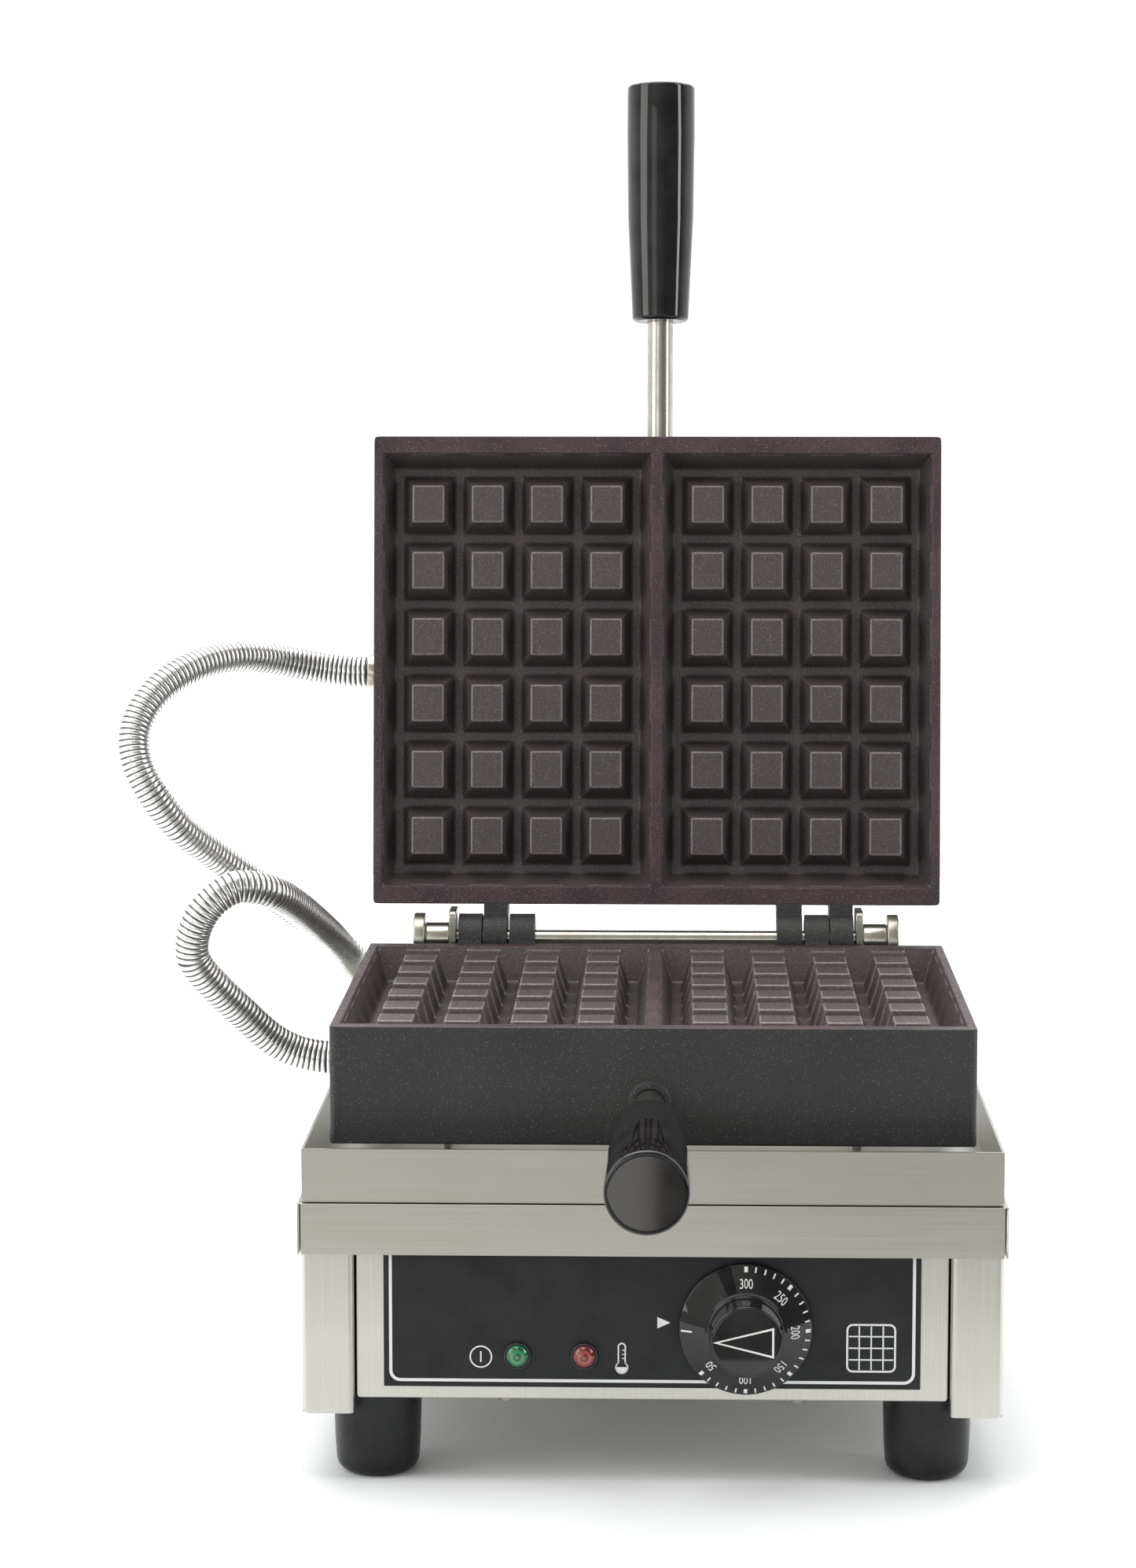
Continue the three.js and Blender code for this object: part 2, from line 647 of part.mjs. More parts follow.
// The upper mould is the lower one turned over about Y, then swung open about the hinge.
const upperMould = mouldGroup('upper', 1);
upperMould.rotation.y = Math.PI;
const lidSwing = new THREE.Group();
lidSwing.position.set(0, hingeY, splitZ);
lidSwing.rotation.x = -THREE.MathUtils.degToRad(openAngle);
lidSwing.add(upperMould);
machine.add(lidSwing);

for (const [label, sign] of [['left', -1], ['right', 1]]) {
  machine.add(restPin(`rest_pin_${label}`, sign * restPinSize.x));
  machine.add(hingeBracket(`hinge_bracket_${label}`, sign));
  machine.add(shaftSleeve(`shaft_sleeve_${label}`, sign));
  machine.add(shaftCap(`shaft_cap_${label}`, sign));
  machine.add(bracketBolt(`bracket_bolt_${label}_front`, sign, bracket.boltY[0]));
  machine.add(bracketBolt(`bracket_bolt_${label}_rear`, sign, bracket.boltY[1]));
  machine.add(baseSide(`base_side_${label}`, sign));
  machine.add(panelScrew(`panel_screw_${label}`, sign * panel.screwX));
  machine.add(rubberFoot(`foot_front_${label}`, sign * foot.x, foot.frontY));
  machine.add(rubberFoot(`foot_rear_${label}`, sign * foot.x, foot.rearY));
}
machine.add(hingeShaft(), baseLid(), frontPanel(), rearPanel(), bottomPlate());
machine.add(controlOverlay(), thermostatKnob(), thermostatSpindle(), thermostatBody());
machine.add(lampBody('power_lamp_body', lamp.greenX), lampLens('power_lamp_lens', lamp.greenX, greenLens));
machine.add(lampBody('heat_lamp_body', lamp.redX), lampLens('heat_lamp_lens', lamp.redX, redLens));
machine.add(terminalBlock(), safetyThermostat(), mainsCableGland());
machine.add(hoseGland('lower_hose_gland', hoseEntry.lowerY), hoseGland('upper_hose_gland', hoseEntry.upperY));
machine.add(metalHose('lower_hose', lowerHoseRoute), metalHose('upper_hose', upperHoseRoute));
machine.add(dripTray());

export default machine;
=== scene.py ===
import json
import math

import bmesh
import bpy
from mathutils import Matrix, Vector


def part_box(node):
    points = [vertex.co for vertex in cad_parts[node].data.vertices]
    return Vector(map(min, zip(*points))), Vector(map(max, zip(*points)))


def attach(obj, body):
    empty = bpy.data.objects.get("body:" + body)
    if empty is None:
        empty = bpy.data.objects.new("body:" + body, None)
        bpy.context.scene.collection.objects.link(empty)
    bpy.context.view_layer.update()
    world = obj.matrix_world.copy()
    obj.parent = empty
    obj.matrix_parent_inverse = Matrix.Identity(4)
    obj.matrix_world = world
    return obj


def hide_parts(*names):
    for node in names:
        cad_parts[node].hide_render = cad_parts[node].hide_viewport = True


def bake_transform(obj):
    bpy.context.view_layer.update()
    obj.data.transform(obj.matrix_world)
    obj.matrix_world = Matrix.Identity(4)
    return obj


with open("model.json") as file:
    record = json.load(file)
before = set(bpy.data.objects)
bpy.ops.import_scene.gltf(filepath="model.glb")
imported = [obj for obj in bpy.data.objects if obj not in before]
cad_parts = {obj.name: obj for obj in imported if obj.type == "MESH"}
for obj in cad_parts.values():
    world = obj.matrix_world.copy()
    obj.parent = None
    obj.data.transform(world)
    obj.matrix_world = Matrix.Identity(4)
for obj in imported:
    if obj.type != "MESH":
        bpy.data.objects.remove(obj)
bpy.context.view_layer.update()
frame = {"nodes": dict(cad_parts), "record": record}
print("frame loaded:", len(frame["nodes"]), "nodes")

mm = 0.001
bodyOf = {node: body for body, nodes in frame["record"]["behaviour"]["bodies"].items() for node in nodes}


# small helpers
def linear(hexCode):
    channels = [int(hexCode[i:i + 2], 16) / 255 for i in (1, 3, 5)]
    return [c / 12.92 if c <= 0.04045 else ((c + 0.055) / 1.055) ** 2.4 for c in channels] + [1]


def boxOf(node):
    low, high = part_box(node)
    return low / mm, high / mm


def axisOf(node, along):
    # a turned part's box, and the point on its axis where the coordinate along that axis is 0
    low, high = boxOf(node)
    centre = (low + high) / 2
    centre["xyz".index(along)] = 0
    return low, high, centre


def addNode(tree, kind, settings=None, inputs=None):
    # one node with its settings and links; an input is a plain value or another node's socket
    node = tree.nodes.new(kind)
    for key, value in (settings or {}).items():
        setattr(node, key, value)
    for key, value in (inputs or {}).items():
        if isinstance(value, bpy.types.NodeSocket):
            tree.links.new(value, node.inputs[key])
        else:
            node.inputs[key].default_value = value
    return node


def newMaterial(name, color, roughness, metallic=0, **values):
    material = bpy.data.materials.new(name)
    material.use_nodes = True
    shader = material.node_tree.nodes["Principled BSDF"]
    shader.inputs["Base Color"].default_value = linear(color)
    shader.inputs["Roughness"].default_value = roughness
    shader.inputs["Metallic"].default_value = metallic
    for key, value in values.items():
        shader.inputs[key.replace("_", " ")].default_value = value
    return material, material.node_tree, shader


def filleted(corners, steps=4, closed=True):
    # (u, v) corners, or (u, v, radius) for a corner that is rounded
    points = []
    for i, corner in enumerate(corners):
        here = Vector(corner[:2])
        atEnd = not closed and i in (0, len(corners) - 1)
        if len(corner) < 3 or atEnd:
            points.append(here)
            continue
        back = (Vector(corners[i - 1][:2]) - here).normalized()
        on = (Vector(corners[(i + 1) % len(corners)][:2]) - here).normalized()
        half = back.angle(on) / 2
        centre = here + (back + on).normalized() * corner[2] / math.sin(half)
        reach = corner[2] / math.tan(half)
        first = here + back * reach - centre
        last = here + on * reach - centre
        start = math.atan2(first.y, first.x)
        sweep = (math.atan2(last.y, last.x) - start + math.pi) % (2 * math.pi) - math.pi
        for k in range(steps + 1):
            angle = start + sweep * k / steps
            points.append(centre + Vector((math.cos(angle), math.sin(angle))) * corner[2])
    return points


# axes of a flat outline (u, v) and of the direction w that it is pushed or turned along
alongX = Matrix(((0, 0, 1, 0), (1, 0, 0, 0), (0, 1, 0, 0), (0, 0, 0, 1)))
alongY = Matrix(((1, 0, 0, 0), (0, 0, 1, 0), (0, 1, 0, 0), (0, 0, 0, 1)))
alongZ = Matrix.Identity(4)


def addTurned(bm, profile, axis, at, segments=64, material=0):
    # profile: (radius, distance along the axis), from axis to axis or as a closed ring
    place = Matrix.Translation(at) @ axis
    ring = abs(profile[0][0]) > 1e-6
    rows = []
    for radius, along in profile:
        if radius < 1e-6:
            rows.append([bm.verts.new(place @ Vector((0, 0, along)))])
            continue
        angles = [2 * math.pi * k / segments for k in range(segments)]
        rows.append([bm.verts.new(place @ Vector((radius * math.cos(a), radius * math.sin(a), along)))
                     for a in angles])
    pairs = list(zip(rows, rows[1:])) + ([(rows[-1], rows[0])] if ring else [])
    for lower, upper in pairs:
        for k in range(segments):
            n = (k + 1) % segments
            corners = [lower[k % len(lower)], lower[n % len(lower)], upper[n % len(upper)],
                       upper[k % len(upper)]]
            unique = list(dict.fromkeys(corners))
            if len(unique) > 2:
                bm.faces.new(unique).material_index = material


def addPrism(bm, outline, start, end, axis, at=(0, 0, 0), bore=None):
    # a flat outline pushed from start to end; bore cuts a round hole at the outline's own origin
    place = Matrix.Translation(at) @ axis
    ends = []
    for along in (start, end):
        ends.append([bm.verts.new(place @ Vector((u, v, along))) for u, v in outline])
    count = len(outline)
    for k in range(count):
        n = (k + 1) % count
        bm.faces.new((ends[0][k], ends[0][n], ends[1][n], ends[1][k]))
    if bore is None:
        for side in ends:
            bm.faces.new(side)
        return
    holes = []
    for along in (start, end):
        holes.append([bm.verts.new(place @ (Vector((u, v, 0)).normalized() * bore + Vector((0, 0, along))))
                      for u, v in outline])
    for k in range(count):
        n = (k + 1) % count
        bm.faces.new((holes[0][k], holes[0][n], holes[1][n], holes[1][k]))
        for side, hole in zip(ends, holes):
            bm.faces.new((side[k], side[n], hole[n], hole[k]))


def newPiece(name, bm, materials):
    # millimetres to metres, and from the edit mesh to an object in the scene
    bmesh.ops.scale(bm, vec=(mm, mm, mm), verts=bm.verts)
    data = bpy.data.meshes.new(name)
    bm.to_mesh(data)
    bm.free()
    piece = bpy.data.objects.new(name, data)
    bpy.context.scene.collection.objects.link(piece)
    for material in materials:
        data.materials.append(material)
    return piece


def bakeModifiers(piece):
    # the last modifier keeps the flats flat between the rounded edges
    piece.modifiers.new("normals", "WEIGHTED_NORMAL").keep_sharp = True
    shaped = piece.evaluated_get(bpy.context.evaluated_depsgraph_get())
    piece.data = bpy.data.meshes.new_from_object(shaped)
    piece.modifiers.clear()
    piece.data.name = piece.name


def finishPiece(name, bm, materials, node=None, body=None, place=None, bevel=0, segments=3,
                sharpAngle=35, weights=False):
    # rounded edges, normals, and the ties to the frame
    bmesh.ops.recalc_face_normals(bm, faces=bm.faces)
    if place is not None:
        bmesh.ops.transform(bm, matrix=place, verts=bm.verts)
    piece = newPiece(name, bm, materials)
    piece.data.shade_smooth()
    piece.data.set_sharp_from_angle(angle=math.radians(sharpAngle))
    if bevel:
        rounding = piece.modifiers.new("edges", "BEVEL")
        rounding.width = bevel * mm
        rounding.segments = segments
        rounding.limit_method = "WEIGHT" if weights else "ANGLE"
        rounding.angle_limit = math.radians(sharpAngle)
        bakeModifiers(piece)
    if node:
        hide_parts(node)
    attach(piece, body or bodyOf[node])


# camera
view = {"place": (0.0078, -1.46165, 0.4164), "tilt": 83.35, "turn": 1.58, "lens": 89.78, "sensor": 36}
cameraData = bpy.data.cameras.new("camera")
cameraData.sensor_width = view["sensor"]
cameraData.lens = view["lens"]
camera = bpy.data.objects.new("camera", cameraData)
camera.location = view["place"]
camera.rotation_euler = (math.radians(view["tilt"]), 0, math.radians(view["turn"]))
bpy.context.scene.collection.objects.link(camera)
bpy.context.scene.camera = camera


# materials
def grain(tree, size, detail, roughness=0.5, stretch=(1, 1, 1)):
    # noise whose patches measure size millimetres, drawn out by stretch along each axis
    place = addNode(tree, "ShaderNodeTexCoord").outputs["Object"]
    scaled = addNode(tree, "ShaderNodeMapping", None, {"Vector": place, "Scale": [1 / s for s in stretch]})
    noise = addNode(tree, "ShaderNodeTexNoise", None, {"Vector": scaled.outputs[0], "Scale": 1 / (size * mm),
                                                       "Detail": detail, "Roughness": roughness})
    return noise.outputs["Fac"]


def ranged(tree, value, low, high, toLow, toHigh):
    return addNode(tree, "ShaderNodeMapRange", None, {"Value": value, "From Min": low, "From Max": high,
                                                      "To Min": toLow, "To Max": toHigh}).outputs[0]


def maths(tree, operation, first, second=0):
    return addNode(tree, "ShaderNodeMath", {"operation": operation}, {0: first, 1: second}).outputs[0]


def product(tree, first, second):
    return maths(tree, "MULTIPLY", first, second)


def mixed(tree, factor, first, second):
    # colours are hex codes or sockets; the plain Mix node keeps its colour sockets at 6 and 7
    colors = [linear(c) if isinstance(c, str) else c for c in (first, second)]
    node = addNode(tree, "ShaderNodeMix", {"data_type": "RGBA"}, {0: factor, 6: colors[0], 7: colors[1]})
    return node.outputs[2]


def bump(tree, height, distance, strength=1.0, normal=None):
    inputs = {"Height": height, "Distance": distance * mm, "Strength": strength}
    if normal is not None:
        inputs["Normal"] = normal
    return addNode(tree, "ShaderNodeBump", None, inputs).outputs[0]


def brushedStainless(name, along, color="#cccac3", shade="#c1bfb8"):
    # rolled 304 sheet, belt-brushed: fine streaks along the sheet that spread the light across them
    steel = {"streak": 0.32, "length": 60, "clouds": 70, "smooth": 0.28, "rough": 0.35, "relief": 0.005}
    material, tree, shader = newMaterial(name, color, steel["rough"], 1, Anisotropic=0.5)
    length = steel["length"] / steel["streak"]
    stretch = {"X": (length, 1, 1), "Y": (1, length, 1), "Z": (1, 1, length)}[along]
    streaks = grain(tree, steel["streak"], 3, 0.6, stretch)
    clouds = grain(tree, steel["clouds"], 2)
    drift = ranged(tree, clouds, 0.3, 0.7, -0.1, 0.1)
    tone = maths(tree, "ADD", streaks, drift)
    tree.links.new(mixed(tree, ranged(tree, tone, 0.3, 0.7, 0, 1), shade, color), shader.inputs["Base Color"])
    tree.links.new(ranged(tree, streaks, 0.3, 0.7, steel["smooth"], steel["rough"]),
                   shader.inputs["Roughness"])
    tree.links.new(bump(tree, streaks, steel["relief"], 0.3), shader.inputs["Normal"])
    tangent = addNode(tree, "ShaderNodeTangent", {"direction_type": "UV_MAP", "uv_map": "grain"})
    tree.links.new(tangent.outputs[0], shader.inputs["Tangent"])
    return material


def drawnSteel(name, color="#cfccc2", roughness=0.2, smear="#b5b0a4"):
    # drawn and polished bright bar: mirror-like with faint draw lines
    material, tree, shader = newMaterial(name, color, roughness, 1)
    lines = grain(tree, 0.6, 4, 0.7)
    smears = grain(tree, 9, 2)
    tree.links.new(ranged(tree, smears, 0.3, 0.7, roughness - 0.05, roughness + 0.08),
                   shader.inputs["Roughness"])
    tree.links.new(mixed(tree, ranged(tree, smears, 0.35, 0.7, 0, 1), color, smear),
                   shader.inputs["Base Color"])
    tree.links.new(bump(tree, lines, 0.01, 0.3), shader.inputs["Normal"])
    return material


def specks(tree, size, share, softness=0.5):
    # scattered bright grains, painted glints: a share of the cells of a random pattern, each fading from its
    # middle
    place = addNode(tree, "ShaderNodeTexCoord").outputs["Object"]
    cells = addNode(tree, "ShaderNodeTexVoronoi", None, {"Vector": place, "Scale": 1 / (size * mm)})
    chosen = addNode(tree, "ShaderNodeSeparateXYZ", None, {0: cells.outputs["Color"]}).outputs["X"]
    middle = ranged(tree, cells.outputs["Distance"], 0.15, softness, 1, 0)
    return product(tree, ranged(tree, chosen, 1 - share, 1 - share * 0.5, 0, 1), middle)


# the mould's face, in its own frame: x across, y from the hinge to the front, z out of the face
mould = {"width": 234, "length": 193.3, "depth": 43.3, "back": 14, "face": -0.15, "wall": 6,
         "pocket": (111.3, 179.1), "floor": (102.2, 168.5), "floorDepth": 14, "pocketX": 57.8,
         "pocketY": -110.8, "studs": (4, 6), "pitch": (24.55, 27.45), "studTop": (12.9, 15),
         "studBase": (20.7, 23.5), "recess": 1.3}


def seasonedIron():
    # cast iron milled on the rim and seasoned with oil: purple-brown and grainy, with bright stud edges that
    # are partly wear and partly a painted highlight
    iron = {"rim": "#574548", "bake": "#43363a", "top": "#585051", "floor": "#5b5253", "wearAndHighlight": "#b9b0aa",
            "glintSpeck": "#9c928d", "pore": "#241f20", "grain": 0.55, "pit": 1.5, "clouds": 26, "cutter": 1.3,
            "cutterAt": (20, 40, 0)}
    material, tree, shader = newMaterial("castIronSeasoned", iron["rim"], 0.45, 0.3)
    fine = grain(tree, iron["grain"], 3, 0.65)
    coarse = grain(tree, iron["pit"], 2, 0.5)
    clouds = grain(tree, iron["clouds"], 3)
    place = addNode(tree, "ShaderNodeAttribute", {"attribute_name": "mouldPlace"}).outputs["Vector"]
    depth = addNode(tree, "ShaderNodeSeparateXYZ", None, {0: place}).outputs["Z"]
    rim = mixed(tree, ranged(tree, clouds, 0.35, 0.65, 0, 1), iron["bake"], iron["rim"])
    skin = mixed(tree, ranged(tree, depth, -1.1, -0.5, 0, 1), iron["top"], rim)
    skin = mixed(tree, ranged(tree, depth, -6, -1.6, 0, 1), iron["floor"], skin)
    skin = mixed(tree, ranged(tree, fine, 0.35, 0.6, 0.45, 0), skin, iron["pore"])
    # light specks on the seasoned iron: painted glints
    skin = mixed(tree, product(tree, specks(tree, 0.55, 0.2), 0.6), skin, iron["glintSpeck"])
    # the bright edges, partly wear and partly a painted highlight, follow the four edges of each stud's top:
    # how far a point lies from them, in millimetres
    fromEdge = []
    for axis, centre, pitch, top in zip("XY", (mould["pocketX"], mould["pocketY"]), mould["pitch"],
                                        mould["studTop"]):
        along = addNode(tree, "ShaderNodeSeparateXYZ", None, {0: place}).outputs[axis]
        if axis == "X":
            along = maths(tree, "ABSOLUTE", along)
        turns = ranged(tree, along, centre - 20 * pitch, centre + 20 * pitch, -20, 20)
        fromMiddle = maths(tree, "SUBTRACT", maths(tree, "FRACT", turns), 0.5)
        away = maths(tree, "ABSOLUTE", fromMiddle)
        fromEdge.append(ranged(tree, away, 0, 0.5, -top / 2, (pitch - top) / 2))
    nearest = maths(tree, "MAXIMUM", fromEdge[0], fromEdge[1])
    wearAndHighlight = product(tree, ranged(tree, nearest, -0.75, -0.25, 0, 1), ranged(tree, nearest, 0.2, 0.5, 1, 0))
    wearAndHighlight = product(tree, wearAndHighlight, ranged(tree, fine, 0.35, 0.6, 0.35, 1))
    wearAndHighlight = product(tree, wearAndHighlight, ranged(tree, depth, -2.2, -1.9, 0, 0.45))
    wearAndHighlight = product(tree, wearAndHighlight, ranged(tree, depth, -1.2, -0.9, 1, 0))
    # the light edge colour is partly wear and partly a painted highlight
    tree.links.new(mixed(tree, wearAndHighlight, skin, iron["wearAndHighlight"]), shader.inputs["Base Color"])
    tree.links.new(ranged(tree, coarse, 0.3, 0.7, 0.36, 0.56), shader.inputs["Roughness"])
    # the milling cutter leaves arcs across the rim
    away = addNode(tree, "ShaderNodeVectorMath", {"operation": "DISTANCE"}, {0: place, 1: iron["cutterAt"]})
    turns = product(tree, away.outputs["Value"], 2 * math.pi / iron["cutter"])
    arcs = maths(tree, "SINE", turns)
    onRim = product(tree, arcs, ranged(tree, depth, -0.9, -0.3, 0, 1))
    rough = bump(tree, coarse, 0.2, 0.8)
    rough = bump(tree, fine, 0.16, 1.0, rough)
    tree.links.new(bump(tree, onRim, 0.02, 0.5, rough), shader.inputs["Normal"])
    return material


def paintedIron():
    # sand-cast iron under heat-proof paint: dark grey orange-peel with a glitter of bare grains
    paint = {"color": "#363635", "dark": "#2c2c2c", "pore": "#1b1b1b", "glint": "#75726e", "peel": 0.75,
             "glitter": 0.5, "clouds": 50}
    material, tree, shader = newMaterial("castIronPainted", paint["color"], 0.5, 0.1)
    peel = grain(tree, paint["peel"], 3, 0.6)
    clouds = grain(tree, paint["clouds"], 2)
    skin = mixed(tree, ranged(tree, clouds, 0.3, 0.7, 0, 1), paint["dark"], paint["color"])
    skin = mixed(tree, ranged(tree, peel, 0.35, 0.55, 0.6, 0), skin, paint["pore"])
    skin = mixed(tree, specks(tree, paint["glitter"], 0.13), skin, paint["glint"])
    tree.links.new(skin, shader.inputs["Base Color"])
    tree.links.new(ranged(tree, peel, 0.3, 0.7, 0.4, 0.58), shader.inputs["Roughness"])
    tree.links.new(bump(tree, peel, 0.2, 1.0), shader.inputs["Normal"])
    return material


def moulded(name, color, roughness, flow, **values):
    # moulded plastic or rubber: an even skin with faint flow marks and handling haze
    material, tree, shader = newMaterial(name, color, roughness, 0, **values)
    haze = grain(tree, 14, 3)
    skin = grain(tree, 0.8, 2)
    tree.links.new(ranged(tree, haze, 0.3, 0.7, roughness * 0.8, roughness * 1.3), shader.inputs["Roughness"])
    tree.links.new(bump(tree, skin, 0.02, flow), shader.inputs["Normal"])
    tree.links.new(mixed(tree, ranged(tree, haze, 0.3, 0.7, 0, 0.06), color, "#8a8a8a"),
                   shader.inputs["Base Color"])
    return material


def lensPlastic(name, deep, bright, centre):
    # tinted polystyrene lens: the light that rings of moulded facets throw back is painted as lighter rings,
    # dark between them
    facetPitch = 2.1
    material, tree, shader = newMaterial(name, deep, 0.08, 0, Coat_Weight=0.6, Transmission_Weight=0.25)
    place = addNode(tree, "ShaderNodeTexCoord").outputs["Object"]
    flat = addNode(tree, "ShaderNodeVectorMath", {"operation": "MULTIPLY"},
                   {0: place, 1: (1, 0, 1)}).outputs[0]
    middle = (centre[0] * mm, 0, centre[2] * mm)
    away = addNode(tree, "ShaderNodeVectorMath", {"operation": "DISTANCE"}, {0: flat, 1: middle})
    turns = product(tree, away.outputs["Value"], 2 * math.pi / (facetPitch * mm))
    rings = maths(tree, "COSINE", turns)
    # the lighter rings are painted reflections
    tree.links.new(mixed(tree, ranged(tree, rings, -1, 1, 0, 0.8), deep, bright), shader.inputs["Base Color"])
    return material


def fibrous(name, color, dark, size):
    # matt mineral stuff: needled wool or fired ceramic
    material, tree, shader = newMaterial(name, color, 0.9)
    lumps = grain(tree, size, 4, 0.7)
    tree.links.new(mixed(tree, ranged(tree, lumps, 0.3, 0.7, 0, 1), dark, color), shader.inputs["Base Color"])
    tree.links.new(bump(tree, lumps, size * 0.3, 0.8), shader.inputs["Normal"])
    return material


brushedAcross = brushedStainless("stainlessBrushedAcross", "X")
brushedUpright = brushedStainless("stainlessBrushedUpright", "Z")
brightBar = drawnSteel("steelDrawnBright")
plated = drawnSteel("steelZincPlated", "#b9b7ad", 0.3)
stripRidge = drawnSteel("stainlessStripWound", "#f3f3f1", 0.27, "#e4e4e1")
# a darker copy of the strip's steel: painted shade for the hose's grooves
stripGrooveShade = drawnSteel("stainlessStripGrooveShade", "#6b6a68", 0.5, "#5d5c5a")
ironFace = seasonedIron()
ironSkin = paintedIron()
bakelite = moulded("bakeliteMouldedGloss", "#060607", 0.035, 0.01, Specular_IOR_Level=0.5)
rubber = moulded("rubberMouldedSatin", "#060607", 0.3, 0.2, Specular_IOR_Level=0.3)
blackAbs = moulded("absMouldedBlack", "#17171a", 0.35, 0.4)
film = moulded("polyesterFilmSatin", "#1a1a1b", 0.5, 0.3, Specular_IOR_Level=0.25)
ink = moulded("inkScreenPrintedWhite", "#e4e4e2", 0.5, 0.3)
wool = fibrous("mineralWoolNeedled", "#b7a671", "#8f7f4e", 2.5)
steatite = fibrous("ceramicSteatiteFired", "#e4e0d6", "#cfc9bb", 1.2)
print("materials made:", len(bpy.data.materials))

# cords: the two metal hoses
# the real strip is wound every 1.7 mm; it is drawn at 2.1 mm, so that each turn still shows
# rings are the cross-sections in one turn of the strip, sides the corners of each
hose = {"radius": 6.4, "valley": 5.9, "pitch": 2.1, "rings": 7, "sides": 40}
lowerRoute = [
    (-122, 24.65, 136.5), (-127, 24.65, 136.5), (-137.8, 24.2, 138.7), (-147.8, 22, 144.4),
    (-158, 17, 155.1), (-167.6, 10, 166.3), (-175.3, 4, 178.6), (-173.9, 1, 190.1),
    (-168.3, 1, 199.5), (-158.7, 4, 205.5), (-147, 12, 202.9), (-140.9, 26, 197.2),
    (-135.3, 45, 188.6), (-130.8, 68, 179), (-128.5, 92, 170.7), (-126.2, 118, 160.6),
    (-121.5, 146, 146.3), (-115.6, 166.5, 130), (-113, 172, 117), (-113, 172, 111.5)]
upperRoute = [
    (-122, 176.95, 272.7), (-128.5, 176.95, 272.8), (-142.1, 176, 274.5), (-159.6, 169.4, 278.2),
    (-175, 158, 280.5), (-190.4, 145, 277.6), (-202.5, 135.7, 270.6), (-210.5, 130, 260.8),
    (-213.8, 126.2, 249.8), (-212.1, 123.8, 238.5), (-206.3, 123.8, 227.1), (-196.2, 129.6, 212.3),
    (-184.5, 140.2, 200.6), (-174.5, 147.1, 191.8), (-154.5, 163, 174.8), (-143.5, 171.5, 165.2),
    (-129, 184, 149.2), (-117, 193, 131.5), (-113, 196, 117), (-113, 196, 111.5)]


def smoothLine(route, step):
    # centripetal curve through the route, resampled to even steps
    points = [Vector(p) for p in route]
    points = [2 * points[0] - points[1]] + points + [2 * points[-1] - points[-2]]
    dense = []
    for i in range(1, len(points) - 2):
        near = points[i - 1:i + 3]
        knots = [0.0]
        for a, b in zip(near, near[1:]):
            knots.append(knots[-1] + math.sqrt((b - a).length))
        for k in range(40):
            t = knots[1] + (knots[2] - knots[1]) * k / 40
            level = near
            for span in (1, 2, 3):
                level = [level[j] * ((knots[j + span] - t) / (knots[j + span] - knots[j]))
                         + level[j + 1] * ((t - knots[j]) / (knots[j + span] - knots[j]))
                         for j in range(len(level) - 1)]
            dense.append(level[0])
    dense.append(points[-2])
    lengths = [0.0]
    for a, b in zip(dense, dense[1:]):
        lengths.append(lengths[-1] + (b - a).length)
    count = round(lengths[-1] / step)
    even, j = [], 0
    for k in range(count + 1):
        want = lengths[-1] * k / count
        while j < len(dense) - 2 and lengths[j + 1] < want:
            j += 1
        share = (want - lengths[j]) / (lengths[j + 1] - lengths[j])
        even.append(dense[j].lerp(dense[j + 1], share))
    return even, lengths[-1]


def woundHose(name, line, node):
    # interlocked steel strip: a round ridge and a narrow groove at every turn
    bm = bmesh.new()
    side = Vector((0, 0, 1))
    rings = []
    for i, point in enumerate(line):
        ahead = (line[min(i + 1, len(line) - 1)] - line[max(i - 1, 0)]).normalized()
        side = (side - ahead * side.dot(ahead)).normalized()
        other = ahead.cross(side)
        phase = (i % hose["rings"]) / hose["rings"]
        radius = hose["valley"] + (hose["radius"] - hose["valley"]) * math.sin(math.pi * phase) ** 0.4
        ring = []
        for k in range(hose["sides"]):
            angle = 2 * math.pi * k / hose["sides"]
            ring.append(bm.verts.new(point + (side * math.cos(angle) + other * math.sin(angle)) * radius))
        rings.append(ring)
    for i, (first, second) in enumerate(zip(rings, rings[1:])):
        # groove faces take the darker copy of the steel: painted shade in the groove
        atGroove = i % hose["rings"] in (0, hose["rings"] - 1)
        for k in range(hose["sides"]):
            n = (k + 1) % hose["sides"]
            bm.faces.new((first[k], first[n], second[n], second[k])).material_index = int(atGroove)
    bm.faces.new(rings[0])
    bm.faces.new(rings[-1])
    bmesh.ops.recalc_face_normals(bm, faces=bm.faces)
    piece = newPiece(name, bm, [stripRidge, stripGrooveShade])
    piece.data.shade_smooth()
    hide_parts(node)
    return piece


step = hose["pitch"] / hose["rings"]
lowerLine, lowerLength = smoothLine(lowerRoute, step)
upperLine, upperLength = smoothLine(upperRoute, step)
lowerHose = woundHose("lower_conduit", lowerLine, "lower_hose")
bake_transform(lowerHose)

# the upper hose is held by three bodies in a row, so it is made as two pieces that meet here
halfWay = Vector(upperRoute[13])
middle = min(range(len(upperLine)), key=lambda i: (upperLine[i] - halfWay).length)
middle -= middle % hose["rings"]
frontHalf = woundHose("upper_conduit_mould_end", upperLine[:middle + 1], "upper_hose")
rearHalf = woundHose("upper_conduit_base_end", upperLine[middle:], "upper_hose")
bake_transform(frontHalf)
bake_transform(rearHalf)
print("hoses:", round(lowerLength), "mm and", round(upperLength), "mm")

# moulds
lidSwing = next(joint for joint in frame["record"]["behaviour"]["joints"] if joint["name"] == "lid_swing")
hinge = Vector(lidSwing["pos_m"]) / mm
openAngle = lidSwing["range_deg"][1]
rounding = {"corner": 2.5, "studTop": 0.45, "studSide": 0.8, "studFoot": 0.9, "floor": 1.2, "rim": 0.45,
            "bottom": 0.8}
